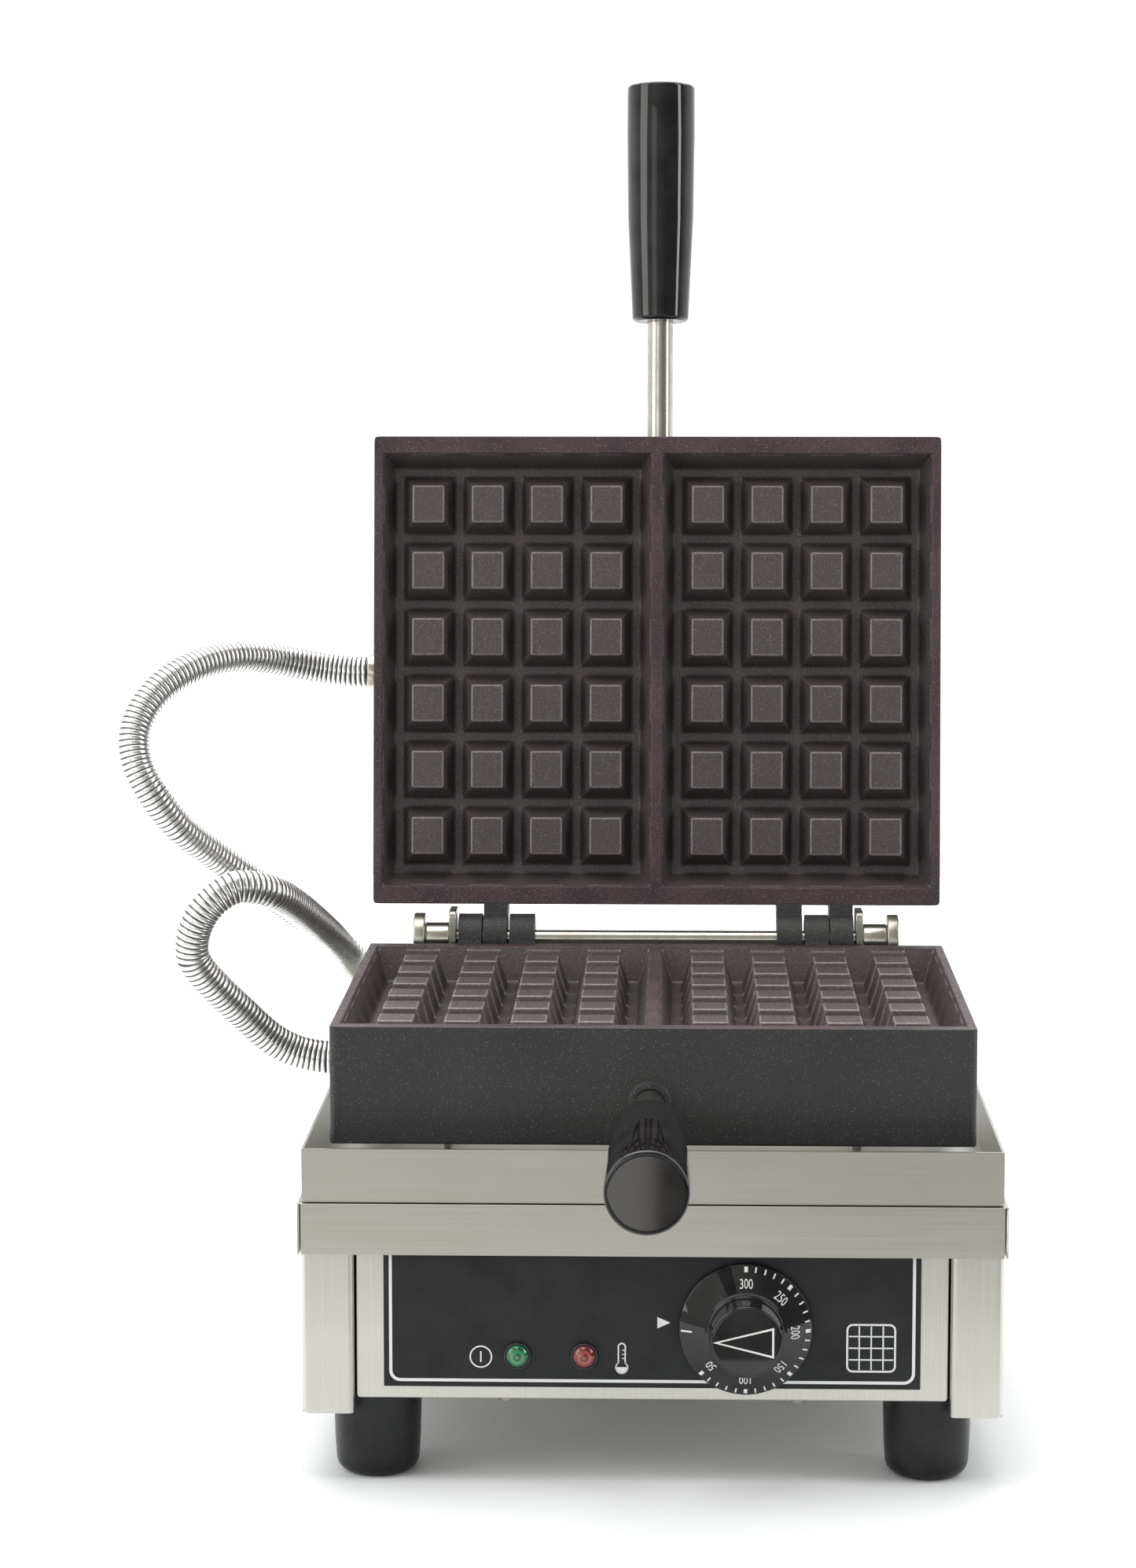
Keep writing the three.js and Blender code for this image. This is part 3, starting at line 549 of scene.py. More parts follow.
# the upper mould is the same casting turned over and swung open about the hinge
swungOpen = Matrix.Rotation(math.radians(-openAngle), 4, "X") @ Matrix.Rotation(math.pi, 4, "Y")
mouldPlaces = {"lower": Matrix.Translation(hinge), "upper": Matrix.Translation(hinge) @ swungOpen}
mouldFront = -mould["back"] - mould["length"]


def gridLines(centres, pocketSize, floorSize, count, pitch, base, low, high):
    # where the mould face is divided: outer edges, pocket rims, floor edges and stud feet
    lines = [low]
    for centre in centres:
        lines += [centre - pocketSize / 2, centre - floorSize / 2]
        for k in range(count):
            middleOf = centre + (k - (count - 1) / 2) * pitch
            lines += [middleOf - base / 2, middleOf + base / 2]
        lines += [centre + floorSize / 2, centre + pocketSize / 2]
    return lines + [high]


def mouldBody(bm):
    m = mould
    columns, rows = m["studs"]
    xs = gridLines((-m["pocketX"], m["pocketX"]), m["pocket"][0], m["floor"][0], columns, m["pitch"][0],
                   m["studBase"][0], -m["width"] / 2, m["width"] / 2)
    ys = gridLines((m["pocketY"],), m["pocket"][1], m["floor"][1], rows, m["pitch"][1], m["studBase"][1],
                   mouldFront, -m["back"])
    face = m["face"]
    floor = face - m["floorDepth"]
    studTop = face - m["recess"]
    perPocket = 2 * columns + 4

    def role(index, count):
        # 0 rim line, 1 pocket rim, 2 floor edge, 3 stud foot
        if index in (0, count - 1):
            return 0
        inPocket = (index - 1) % perPocket if count > 2 * rows + 6 else index - 1
        span = perPocket if count > 2 * rows + 6 else 2 * rows + 4
        return 1 if inPocket in (0, span - 1) else 2 if inPocket in (1, span - 2) else 3

    roleX = [role(i, len(xs)) for i in range(len(xs))]
    roleY = [role(j, len(ys)) for j in range(len(ys))]
    grid = []
    for i, x in enumerate(xs):
        heights = [floor if roleX[i] >= 2 and roleY[j] >= 2 else face for j in range(len(ys))]
        grid.append([bm.verts.new((x, y, z)) for y, z in zip(ys, heights)])
    for i in range(len(xs) - 1):
        for j in range(len(ys) - 1):
            a, b, c, d = grid[i][j], grid[i + 1][j], grid[i + 1][j + 1], grid[i][j + 1]
            wallX = {roleX[i], roleX[i + 1]} == {1, 2}
            wallY = {roleY[j], roleY[j + 1]} == {1, 2}
            if wallX and wallY:
                rising = (roleX[i] == 1) == (roleY[j] == 1)
                for corners in (((a, b, c), (a, c, d)) if rising else ((a, b, d), (b, c, d))):
                    bm.faces.new(corners)
                continue
            studX = roleX[i] == roleX[i + 1] == 3 and (i - 3) % perPocket % 2 == 0
            studY = roleY[j] == roleY[j + 1] == 3 and (j - 3) % 2 == 0
            if not (studX and studY):
                bm.faces.new((a, b, c, d))
                continue
            x, y = (xs[i] + xs[i + 1]) / 2, (ys[j] + ys[j + 1]) / 2
            halfX, halfY = m["studTop"][0] / 2, m["studTop"][1] / 2
            top = [bm.verts.new((x + sx * halfX, y + sy * halfY, studTop))
                   for sx, sy in ((-1, -1), (1, -1), (1, 1), (-1, 1))]
            foot = [a, b, c, d]
            for k in range(4):
                bm.faces.new((foot[k], foot[(k + 1) % 4], top[(k + 1) % 4], top[k]))
            bm.faces.new(top)
    # outer walls, bottom rim and the hollow behind the pockets
    border = [grid[i][0] for i in range(len(xs))] + [grid[-1][j] for j in range(1, len(ys))]
    border += [grid[i][-1] for i in range(len(xs) - 2, -1, -1)]
    border += [grid[0][j] for j in range(len(ys) - 2, 0, -1)]
    bottom = -m["depth"]
    inset = m["wall"]
    outer = [(xs[0], ys[0]), (xs[-1], ys[0]), (xs[-1], ys[-1]), (xs[0], ys[-1])]
    inner = [(xs[0] + inset, ys[0] + inset), (xs[-1] - inset, ys[0] + inset),
             (xs[-1] - inset, ys[-1] - inset), (xs[0] + inset, ys[-1] - inset)]
    low = [bm.verts.new((x, y, bottom)) for x, y in outer]
    lip = [bm.verts.new((x, y, bottom)) for x, y in inner]
    roof = [bm.verts.new((x, y, floor - inset)) for x, y in inner]
    cornersAt = [0, len(xs) - 1, len(xs) + len(ys) - 2, 2 * len(xs) + len(ys) - 3]
    for k in range(4):
        n = (k + 1) % 4
        end = cornersAt[n] if n else len(border)
        edge = [border[t % len(border)] for t in range(cornersAt[k], end + 1)]
        bm.faces.new(edge + [low[n], low[k]])
        bm.faces.new((low[k], low[n], lip[n], lip[k]))
        bm.faces.new((lip[k], lip[n], roof[n], roof[k]))
    bm.faces.new(roof)
    bmesh.ops.recalc_face_normals(bm, faces=bm.faces)
    bm.normal_update()
    # how far each edge is rounded, as a share of the largest rounding
    weight = bm.edges.layers.float.new("bevel_weight_edge")
    for edge in bm.edges:
        if len(edge.link_faces) < 2 or edge.calc_face_angle(0) < math.radians(12):
            continue
        heights = sorted(v.co.z for v in edge.verts)
        if heights[0] < floor - 1:
            upright = heights[1] - heights[0] > 1
            size = rounding["corner"] if upright else rounding["bottom"]
            if heights[1] < face - 1 and upright:
                size = 0
        elif heights[1] < floor + 0.1:
            size = rounding["studFoot"]
        elif heights[0] > studTop - 0.1:
            size = rounding["studTop"] if heights[1] < face - 0.5 else rounding["rim"]
        else:
            size = rounding["studSide"] if heights[1] < face - 0.5 else rounding["floor"]
        edge[weight] = size / rounding["corner"]
    # the pockets and the rim are bare seasoned iron, all the rest is painted
    for item in bm.faces:
        inFace = item.normal.z > 0.02 or all(v.co.z > floor - 0.1 for v in item.verts)
        item.material_index = 0 if inFace else 1


knuckle = {"radius": 10.1, "bore": 3.7, "spans": ((-81.2, -71.5), (-60.2, -49.8), (61.2, 71.1)), "bevel": 0.5}


def knuckleOutline():
    r = knuckle["radius"]
    face = mould["face"]
    points = [(r * math.cos(math.radians(a)), r * math.sin(math.radians(a))) for a in range(-90, 181, 9)]
    points += [(-mould["back"] - 1, face), (-mould["back"] - 1, -r - 12)]
    return points


def buildMould(prefix):
    place = mouldPlaces[prefix]
    bm = bmesh.new()
    mouldBody(bm)
    local = bm.verts.layers.float_vector.new("mouldPlace")
    for vertex in bm.verts:
        vertex[local] = vertex.co
    finishPiece(prefix + "_mould_casting", bm, [ironFace, ironSkin], prefix + "_casting", place=place,
                bevel=rounding["corner"], weights=True, sharpAngle=50)
    bm = bmesh.new()
    for start, end in knuckle["spans"]:
        addPrism(bm, knuckleOutline(), start, end, alongX, bore=knuckle["bore"])
    finishPiece(prefix + "_knuckles", bm, [ironSkin], body=bodyOf[prefix + "_casting"],
                place=place, bevel=knuckle["bevel"], segments=2, sharpAngle=40)


for prefix in mouldPlaces:
    buildMould(prefix)
print("moulds built")

# handles
grip = {"axisX": -1, "below": 27.6, "rod": 5.3, "start": 50.4, "length": 98.6, "inset": 16}


def buildHandle(prefix):
    start = mouldFront - grip["start"]
    end = start - grip["length"]
    at = (grip["axisX"], 0, -grip["below"])
    bm = bmesh.new()
    shape = filleted([(0, end), (12.2, end), (14.05, end, 1.3), (14.15, end + 20, 40), (13.7, end + 55, 60),
                      (11.7, start - 1, 1.6), (10.4, start, 0.5), (5.6, start, 0.3), (5.6, start - 6),
                      (0, start - 6)],
                     7, closed=False)
    addTurned(bm, shape, alongY, at, 96)
    finishPiece(prefix + "_handle_grip", bm, [bakelite], prefix + "_grip", place=mouldPlaces[prefix],
                sharpAngle=50)
    bm = bmesh.new()
    rod = [(0, start - 40), (grip["rod"], start - 40), (grip["rod"], mouldFront + grip["inset"]),
           (0, mouldFront + grip["inset"])]
    addTurned(bm, rod, alongY, at, 64)
    boss = filleted([(5.5, mouldFront - 1.4), (7.4, mouldFront - 1.4, 0.9), (8.4, mouldFront + 0.2),
                     (5.5, mouldFront + 0.2)], 5)
    addTurned(bm, boss, alongY, at, 48, material=1)
    finishPiece(prefix + "_handle_bar", bm, [brightBar, ironSkin], prefix + "_handle_rod",
                place=mouldPlaces[prefix])


for prefix in mouldPlaces:
    buildHandle(prefix)
print("handles built")


# folded sheets
def foldEdges(bm, radius, steps=5):
    # every fold between two flats gets the bend radius of the press brake
    folds = [e for e in bm.edges if len(e.link_faces) == 2 and e.calc_face_angle(0) > math.radians(30)]
    bmesh.ops.bevel(bm, geom=folds, offset=radius, offset_type="OFFSET", segments=steps, profile=0.5,
                    affect="EDGES", clamp_overlap=True)


def flats(bm, polygons):
    # flat faces given by named corner points; corners at the same place are shared
    known = {}
    for polygon in polygons:
        corners = []
        for point in polygon:
            key = tuple(round(c, 3) for c in point)
            if key not in known:
                known[key] = bm.verts.new(key)
            corners.append(known[key])
        bm.faces.new(corners)


def grainUv(piece, along):
    # u runs with the brushing, so that the sheen spreads across it
    layer = piece.data.uv_layers.new(name="grain")
    axis = "XYZ".index(along)
    for polygon in piece.data.polygons:
        others = [a for a in range(3) if a != axis]
        across = min(others, key=lambda a: abs(polygon.normal[a]))
        for corner in polygon.loop_indices:
            co = piece.data.vertices[piece.data.loops[corner].vertex_index].co
            layer.data[corner].uv = (co[axis] * 4, co[across] * 4)


def sheetPiece(name, node, polygons, along, material, sheet):
    # the polygons are the outer skin; thickness goes inwards from it
    bm = bmesh.new()
    flats(bm, polygons)
    bmesh.ops.recalc_face_normals(bm, faces=bm.faces)
    low, high = boxOf(node)
    centre = (low + high) / 2
    biggest = max(bm.faces, key=lambda f: f.calc_area())
    if (biggest.calc_center_median() - centre).dot(biggest.normal) < 0:
        bmesh.ops.reverse_faces(bm, faces=bm.faces)
    foldEdges(bm, sheet["bend"])
    piece = newPiece(name, bm, [material])
    piece.data.shade_smooth()
    solid = piece.modifiers.new("sheet", "SOLIDIFY")
    solid.thickness = sheet["thickness"] * mm
    solid.offset = -1
    softened = piece.modifiers.new("edges", "BEVEL")
    softened.width = 0.15 * mm
    softened.segments = 2
    softened.angle_limit = math.radians(50)
    bakeModifiers(piece)
    grainUv(piece, along)
    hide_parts(node)
    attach(piece, bodyOf[node])


def buildLid():
    lid = {"thickness": 0.8, "bend": 2.6, "seam": 1.3, "slit": 0.25}
    (x0, y0, z0), (x1, y1, z1) = boxOf("base_lid")
    seam, slit = lid["seam"], lid["slit"]
    top = [(x0 + seam, y0, z1), (x1 - seam, y0, z1), (x1, y0 + slit, z1), (x1, y1 - slit, z1),
           (x1 - seam, y1, z1), (x0 + seam, y1, z1), (x0, y1 - slit, z1), (x0, y0 + slit, z1)]
    skirts = []
    for a, b in ((0, 1), (2, 3), (4, 5), (6, 7)):
        skirts.append([top[a], top[b], (top[b][0], top[b][1], z0), (top[a][0], top[a][1], z0)])
    sheetPiece("lid_pressing", "base_lid", [top] + skirts, "X", brushedAcross, lid)


def buildTray():
    tray = {"thickness": 1.0, "bend": 2.4, "seam": 0.9, "slit": 0.2}
    (x0, y0, z0), (x1, y1, z1) = boxOf("drip_tray")
    seam, slit = tray["seam"], tray["slit"]
    floor = [(x0 + seam, y0, z0), (x1 - seam, y0, z0), (x1, y0 + slit, z0), (x1, y1, z0), (x0, y1, z0),
             (x0, y0 + slit, z0)]
    walls = []
    for a, b in ((0, 1), (2, 3), (4, 5)):
        walls.append([floor[a], floor[b], (floor[b][0], floor[b][1], z1), (floor[a][0], floor[a][1], z1)])
    sheetPiece("tray_pressing", "drip_tray", [floor] + walls, "X", brushedAcross, tray)


def buildSide(name):
    channel = {"thickness": 1.0, "bend": 2.2, "flange": 19, "fold": 6.5, "relief": 2.2}
    node = "base_side_" + name
    (x0, y0, z0), (x1, y1, z1) = boxOf(node)
    outer, inward = (x0, 1) if name == "left" else (x1, -1)
    inner = outer + inward * channel["flange"]
    cut = channel["relief"]
    flatsOf = [
        [(outer, y0, z0 + cut), (outer, y0, z1), (inner, y0, z1), (inner, y0, z0),
         (outer + inward * cut, y0, z0)],
        [(inner, y0, z0), (inner, y0, z1), (inner, y0 + channel["fold"], z1),
         (inner, y0 + channel["fold"], z0)],
        [(outer, y0, z0 + cut), (outer, y0 + cut, z0), (outer, y1 - cut, z0), (outer, y1, z0 + cut),
         (outer, y1, z1), (outer, y0, z1)],
        [(outer, y1, z0 + cut), (outer, y1, z1), (inner, y1, z1), (inner, y1, z0),
         (outer + inward * cut, y1, z0)]]
    sheetPiece("side_channel_" + name, node, flatsOf, "Z", brushedUpright, channel)


def buildPanel(node, name, inward, along):
    pan = {"thickness": 1.0, "bend": 3.2, "relief": 1.2}
    (x0, y0, z0), (x1, y1, z1) = boxOf(node)
    near, far = (y0, y1) if inward > 0 else (y1, y0)
    cut = pan["relief"]
    flatsOf = [
        [(x0, near, z0 + cut), (x0 + cut, near, z0), (x1 - cut, near, z0), (x1, near, z0 + cut),
         (x1, near, z1), (x0, near, z1)],
        [(x0, near, z0 + cut), (x0, near, z1), (x0, far, z1), (x0, far, z0 + cut)],
        [(x1, near, z0 + cut), (x1, near, z1), (x1, far, z1), (x1, far, z0 + cut)],
        [(x0 + cut, near, z0), (x1 - cut, near, z0), (x1 - cut, far, z0), (x0 + cut, far, z0)]]
    sheetPiece(name, node, flatsOf, along, brushedUpright if along == "Z" else brushedAcross, pan)


buildLid()
buildTray()
for name in ("left", "right"):
    buildSide(name)
buildPanel("front_panel", "front_panel_pressing", 1, "Z")
buildPanel("rear_panel", "rear_panel_pressing", -1, "X")
print("sheet metal built")


# hinge
def buildHinge():
    # sleeve and cap: where they start and end along the shaft, and their radius
    h = {"plate": (82, 85), "half": 8.5, "rise": 12.4, "footWidth": 22, "footBack": 21, "footHeight": 3,
         "bore": 3.7, "shaft": 3.6, "sleeve": (85.2, 94.9, 6.4), "cap": (95.1, 99.7, 10.3), "bolt": 3.9,
         "boltHead": 2.9}
    bottom = boxOf("hinge_bracket_left")[0].z - hinge.z
    outline = filleted([(-h["half"], bottom), (h["half"], bottom), (h["half"], h["rise"], 3),
                        (-h["half"], h["rise"], 3)], 5)
    # finer steps round the bore keep it round
    bored = []
    for a, b in zip(outline, outline[1:] + outline[:1]):
        pieces = max(1, round((b - a).length / 3))
        bored += [a.lerp(b, k / pieces) for k in range(pieces)]
    for name, sign in (("left", -1), ("right", 1)):
        bm = bmesh.new()
        start, end = sorted((sign * h["plate"][0], sign * h["plate"][1]))
        addPrism(bm, bored, start, end, alongX, hinge, bore=h["bore"])
        foot = sorted((sign * (h["plate"][1] - 0.5), sign * (h["plate"][0] + h["footWidth"])))
        base = [(foot[0], -h["half"]), (foot[1], -h["half"]), (foot[1], h["footBack"]),
                (foot[0], h["footBack"])]
        addPrism(bm, base, bottom, bottom + h["footHeight"], alongZ, hinge)
        finishPiece("bracket_" + name, bm, [plated], "hinge_bracket_" + name, bevel=0.4, segments=2,
                    sharpAngle=40)
        bm = bmesh.new()
        near, far, outer = h["sleeve"]
        sleeve = filleted([(h["shaft"], near), (outer, near, 0.5), (outer, far, 0.5), (h["shaft"], far)], 4)
        addTurned(bm, [(r, sign * a) for r, a in sleeve], alongX, hinge, 64)
        finishPiece("sleeve_" + name, bm, [brightBar], "shaft_sleeve_" + name)
        bm = bmesh.new()
        near, far, outer = h["cap"]
        cap = filleted([(0, near + 3), (h["shaft"], near + 3), (h["shaft"], near), (outer, near, 0.5),
                        (outer, far, 0.7), (3.2, far + 0.1, 0.2), (2.6, far - 0.4), (0, far - 0.4)], 4,
                       closed=False)
        addTurned(bm, [(r, sign * a) for r, a in cap], alongX, hinge, 72)
        finishPiece("end_cap_" + name, bm, [plated], "shaft_cap_" + name)
        for where in ("front", "rear"):
            node = f"bracket_bolt_{name}_{where}"
            low, high, centre = axisOf(node, "z")
            bm = bmesh.new()
            under = high.z - h["boltHead"]
            hexagon = [(h["bolt"] * math.cos(a * math.pi / 3), h["bolt"] * math.sin(a * math.pi / 3))
                       for a in range(6)]
            addPrism(bm, hexagon, under, high.z - 0.1, alongZ, centre)
            addTurned(bm, [(0, low.z), (2, low.z), (2, under), (0, under)], alongZ, centre, 24)
            finishPiece("bolt_" + name + "_" + where, bm, [plated], node, bevel=0.35, segments=2,
                        sharpAngle=40)
    bm = bmesh.new()
    addTurned(bm, filleted([(0, -97.8), (3.4, -97.8), (3.4, 97.8), (0, 97.8)], closed=False), alongX, hinge,
              48)
    finishPiece("hinge_bar", bm, [brightBar], "hinge_shaft")


buildHinge()


# feet, screws, glands and ferrules
def buildFeet():
    for end in ("front", "rear"):
        for side in ("left", "right"):
            node = f"foot_{end}_{side}"
            low, high, centre = axisOf(node, "z")
            radius, height = (high.x - low.x) / 2, high.z
            bm = bmesh.new()
            shape = filleted([(0, 0), (radius - 1.3, 0, 5.5), (radius - 0.5, height * 0.4, 30),
                              (radius, height - 0.3, 0.3), (radius - 0.4, height), (0, height)], 8,
                             closed=False)
            addTurned(bm, shape, alongZ, centre, 80)
            finishPiece(f"rubber_foot_{end}_{side}", bm, [rubber], node, sharpAngle=50)


def buildScrews():
    for side in ("left", "right"):
        node = "panel_screw_" + side
        low, high, centre = axisOf(node, "z")
        bm = bmesh.new()
        head = filleted([(0, low.z), (1.2, low.z), (2.6, low.z + 0.3, 0.8), (3.4, low.z + 1.9, 0.8),
                         (3.4, low.z + 2.4), (1.8, low.z + 2.4), (1.8, high.z), (0, high.z)], 5,
                        closed=False)
        addTurned(bm, head, alongZ, centre, 48)
        finishPiece("pan_screw_" + side, bm, [plated], node)


def hexNut(bm, centre, across, start, end, axis, bore):
    points = []
    for k in range(6):
        a, b = math.radians(60 * k), math.radians(60 * k + 60)
        first, last = Vector((math.cos(a), math.sin(a))), Vector((math.cos(b), math.sin(b)))
        points += [first.lerp(last, t / 4) * across for t in range(4)]
    addPrism(bm, points, start, end, axis, centre, bore=bore)


def buildFittings():
    for name in ("lower", "upper"):
        low, high, centre = axisOf(name + "_hose_gland", "z")
        seat = high.z - 6.6
        bm = bmesh.new()
        hexNut(bm, centre, 7.8, seat, seat + 3.4, alongZ, 5.2)
        collar = filleted([(3, low.z), (5.1, low.z), (5.1, seat + 3.2), (7.1, seat + 3.2, 0.4),
                           (7.1, high.z, 0.8), (3, high.z)], 4)
        addTurned(bm, collar, alongZ, centre, 64)
        finishPiece(name + "_lid_gland", bm, [plated], name + "_hose_gland", bevel=0.25, segments=2,
                    sharpAngle=45)
        # fitting on the mould's side, with a plain band round the hose's end
        exitPoint = Vector((lowerRoute if name == "lower" else upperRoute)[0])
        bm = bmesh.new()
        band = filleted([(2.9, 0.6), (7, 0.6, 0.5), (7, 4.6, 0.3), (2.9, 4.6)], 4)
        addTurned(bm, band, alongX, exitPoint, 64)
        stem = [(2.9, 4.4), (4.6, 4.4), (4.6, 12.8), (2.9, 12.8)]
        addTurned(bm, stem, alongX, exitPoint, 40)
        finishPiece(name + "_hose_band", bm, [brightBar], name + "_hose_ferrule")
    low, high, centre = axisOf("mains_gland", "y")
    bm = bmesh.new()
    wall = low.y + 8
    hexNut(bm, centre, 9.3, wall, wall + 5, alongY, 6.3)
    dome = filleted([(3.6, low.y), (6.2, low.y), (6.2, wall + 4.8), (8, wall + 4.8), (8, wall + 7, 1.5),
                     (6.4, high.y, 0.6), (3.6, high.y)], 5)
    addTurned(bm, dome, alongY, centre, 64)
    finishPiece("mains_lead_gland", bm, [blackAbs], "mains_gland", bevel=0.3, segments=2, sharpAngle=45)


buildFeet()
buildScrews()
buildFittings()
print("hinge, feet and fittings built")


# controls
def addRibbon(bm, points, width, front, back, closed=False):
    # a printed line of even width, standing a hair proud of the film
    points = [Vector(p) for p in points]
    count = len(points)
    left, right = [], []
    for i, here in enumerate(points):
        before = points[i - 1] if i or closed else here
        after = points[(i + 1) % count] if i < count - 1 or closed else here
        first = (here - before).normalized() if before != here else (after - here).normalized()
        last = (after - here).normalized() if after != here else first
        across = Vector((-(first + last).y, (first + last).x)).normalized()
        stretch = 1 / max(0.35, across.dot(Vector((-first.y, first.x))))
        left.append(here + across * width / 2 * stretch)
        right.append(here - across * width / 2 * stretch)
    spans = range(count if closed else count - 1)
    rows = [[bm.verts.new((p.x, depth, p.y)) for p in side] for depth in (front, back)
            for side in (left, right)]
    for i in spans:
        n = (i + 1) % count
        for a, b in ((0, 1), (2, 3), (0, 2), (1, 3)):
            bm.faces.new((rows[a][i], rows[a][n], rows[b][n], rows[b][i]))
    if not closed:
        for i in (0, count - 1):
            bm.faces.new((rows[0][i], rows[1][i], rows[3][i], rows[2][i]))


def circle(x, z, radius, steps=48, start=0, sweep=360):
    # a part circle also has its last point
    angles = [math.radians(start + sweep * k / steps) for k in range(steps + (sweep < 360))]
    return [(x + radius * math.cos(angle), z + radius * math.sin(angle)) for angle in angles]


def addPatch(bm, outline, front, back):
    # a filled printed shape
    addPrism(bm, outline, back, front, alongY)


def buildPrint():
    marks = {"line": 1.1, "thin": 0.5, "halfWidth": 94.3, "bottom": 38.6, "corner": 3.5, "height": 0.05}
    low, high = boxOf("control_overlay")
    back = low.y - 0.005
    front = back - marks["height"]
    lampZ = axisOf("power_lamp_body", "y")[2].z
    bm = bmesh.new()
    border = [(-marks["halfWidth"], high.z - 0.2), (-marks["halfWidth"], marks["bottom"], marks["corner"]),
              (marks["halfWidth"], marks["bottom"], marks["corner"]), (marks["halfWidth"], high.z - 0.2)]
    addRibbon(bm, filleted(border, 10, closed=False), marks["line"], front, back)
    # power sign: a ring and a bar
    addRibbon(bm, circle(-61.7, lampZ - 0.6, 3.85), marks["thin"], front, back, closed=True)
    addRibbon(bm, [(-61.7, lampZ - 2.6), (-61.7, lampZ + 1.4)], marks["thin"], front, back)
    # thermometer: stem, scale and filled bulb
    stem = [(-12, 45.2), (-12, 51.4), (-9.6, 51.4), (-9.6, 45.2)]
    arch = circle(-10.8, 51.3, 1.25, 12, 180, -180)
    addRibbon(bm, [stem[0]] + arch + [stem[3]], marks["thin"], front, back)
    addPatch(bm, circle(-10.8, 43.6, 2.1, 32, 175, 190), front, back)
    addRibbon(bm, circle(-10.8, 43.6, 2.15, 30, 60, -300), marks["thin"] * 0.8, front, back)
    for step in range(3):
        addRibbon(bm, [(-10.7, 47 + 1.5 * step), (-9.7, 47 + 1.5 * step)], 0.35, front, back)
    # pointer beside the dial
    addPatch(bm, [(2.0, 58.2), (6.7, 60.3), (2.0, 62.4)], front, back)
    # waffle sign at the right: a rounded square crossed by its grid
    cx, cz, half = 79, 51.4, 8.6
    frameLine = filleted([(cx - half, cz - half, 2), (cx + half, cz - half, 2), (cx + half, cz + half, 2),
                          (cx - half, cz + half, 2)], 6)
    addRibbon(bm, frameLine, 0.7, front, back, closed=True)
    for k in (-1, 0, 1):
        offset = k * half / 2
        addRibbon(bm, [(cx + offset, cz - half + 0.6), (cx + offset, cz + half - 0.6)], marks["thin"], front,
                  back)
        for m in range(4):
            start = cx - half + 0.6 if m == 0 else cx + (m - 2) * half / 2 + 0.3
            end = cx + half - 0.6 if m == 3 else cx + (m - 1) * half / 2 - 0.3
            addRibbon(bm, [(start, cz + offset), (end, cz + offset)], marks["thin"], front, back)
    finishPiece("overlay_print", bm, [ink], body="base", sharpAngle=30)


def buildDial():
    dial = {"skirt": 24.2, "cap": 13, "foot": 14.8, "tickIn": 21.5, "tickOut": 23.3, "textRadius": 17.6,
            "textSize": 4.6, "textWidth": 0.72, "least": 50, "most": 300, "step": 10, "turn": 0.9}
    low, high, centre = axisOf("thermostat_knob", "y")
    back, front = high.y, low.y
    bm = bmesh.new()
    cap, foot, skirt = dial["cap"], dial["foot"], dial["skirt"]
    shape = filleted([(0, front), (cap - 1.5, front), (cap, front, 1.0), (cap + 0.3, back - 7.5, 0.8),
                      (foot, back - 7.2, 0.4), (skirt - 0.2, back - 2.1, 0.6), (skirt, back, 0.4),
                      (3.3, back), (3.3, back - 14), (0, back - 14)], 6, closed=False)
    addTurned(bm, shape, alongY, centre, 128)
    finishPiece("dial_knob", bm, [bakelite], "thermostat_knob", sharpAngle=50)

    def angleOf(value):
        # the highest number stands at the top; turn is in degrees of the dial per degree of heat
        return math.radians(90 - (dial["most"] - value) * dial["turn"])

    def onSkirt(radius, angle, lift):
        share = (radius - foot) / (skirt - 0.2 - foot)
        depth = back - 7.2 + share * 5.1 - lift
        return Vector((centre.x + radius * math.cos(angle), depth, centre.z + radius * math.sin(angle)))

    bm = bmesh.new()

    def addTick(angle, inner, outer, width):
        corners = []
        for lift in (0.07, 0.01):
            for radius in (inner, outer):
                for side in (-1, 1):
                    corners.append(bm.verts.new(onSkirt(radius, angle + side * width / 2 / radius, lift)))
        a, b, c, d, e, f, g, h = corners
        for face in ((a, b, d, c), (e, f, h, g), (a, b, f, e), (c, d, h, g), (a, c, g, e), (b, d, h, f)):
            bm.faces.new(face)

    for value in range(dial["least"], dial["most"] + 1, dial["step"]):
        large = value % 50 == 0
        addTick(angleOf(value), dial["tickIn"], dial["tickOut"], 1.3 if large else 0.55)
    addTick(math.pi * 1.005, 19.4, 23.3, 0.6)
    # outlined arrow on the cap
    arrow = [(centre.x - 11, centre.z), (centre.x + 9.4, centre.z - 5.1), (centre.x + 9.4, centre.z + 5.1)]
    addRibbon(bm, arrow, 0.75, front - 0.05, front + 0.01, closed=True)
    for value in range(dial["least"], dial["most"] + 1, 50):
        curve = bpy.data.curves.new("figures", "FONT")
        curve.body = str(value)
        curve.size = dial["textSize"]
        curve.align_x = "CENTER"
        curve.align_y = "CENTER"
        curve.extrude = 0.03
        curve.resolution_u = 3
        holder = bpy.data.objects.new("figures", curve)
        bpy.context.scene.collection.objects.link(holder)
        text = bpy.data.meshes.new_from_object(holder.evaluated_get(bpy.context.evaluated_depsgraph_get()))
        start = len(bm.verts)
        bm.from_mesh(text)
        bm.verts.ensure_lookup_table()
        for vertex in bm.verts[start:]:
            u, v, w = vertex.co.x * dial["textWidth"], vertex.co.y, vertex.co.z
            radius = dial["textRadius"] + v
            vertex.co = onSkirt(radius, angleOf(value) - u / radius, 0.04 + w)
        bpy.data.objects.remove(holder)
        bpy.data.meshes.remove(text)
    bmesh.ops.remove_doubles(bm, verts=bm.verts, dist=0.001)
    finishPiece("dial_print", bm, [ink], body=bodyOf["thermostat_knob"], sharpAngle=30)


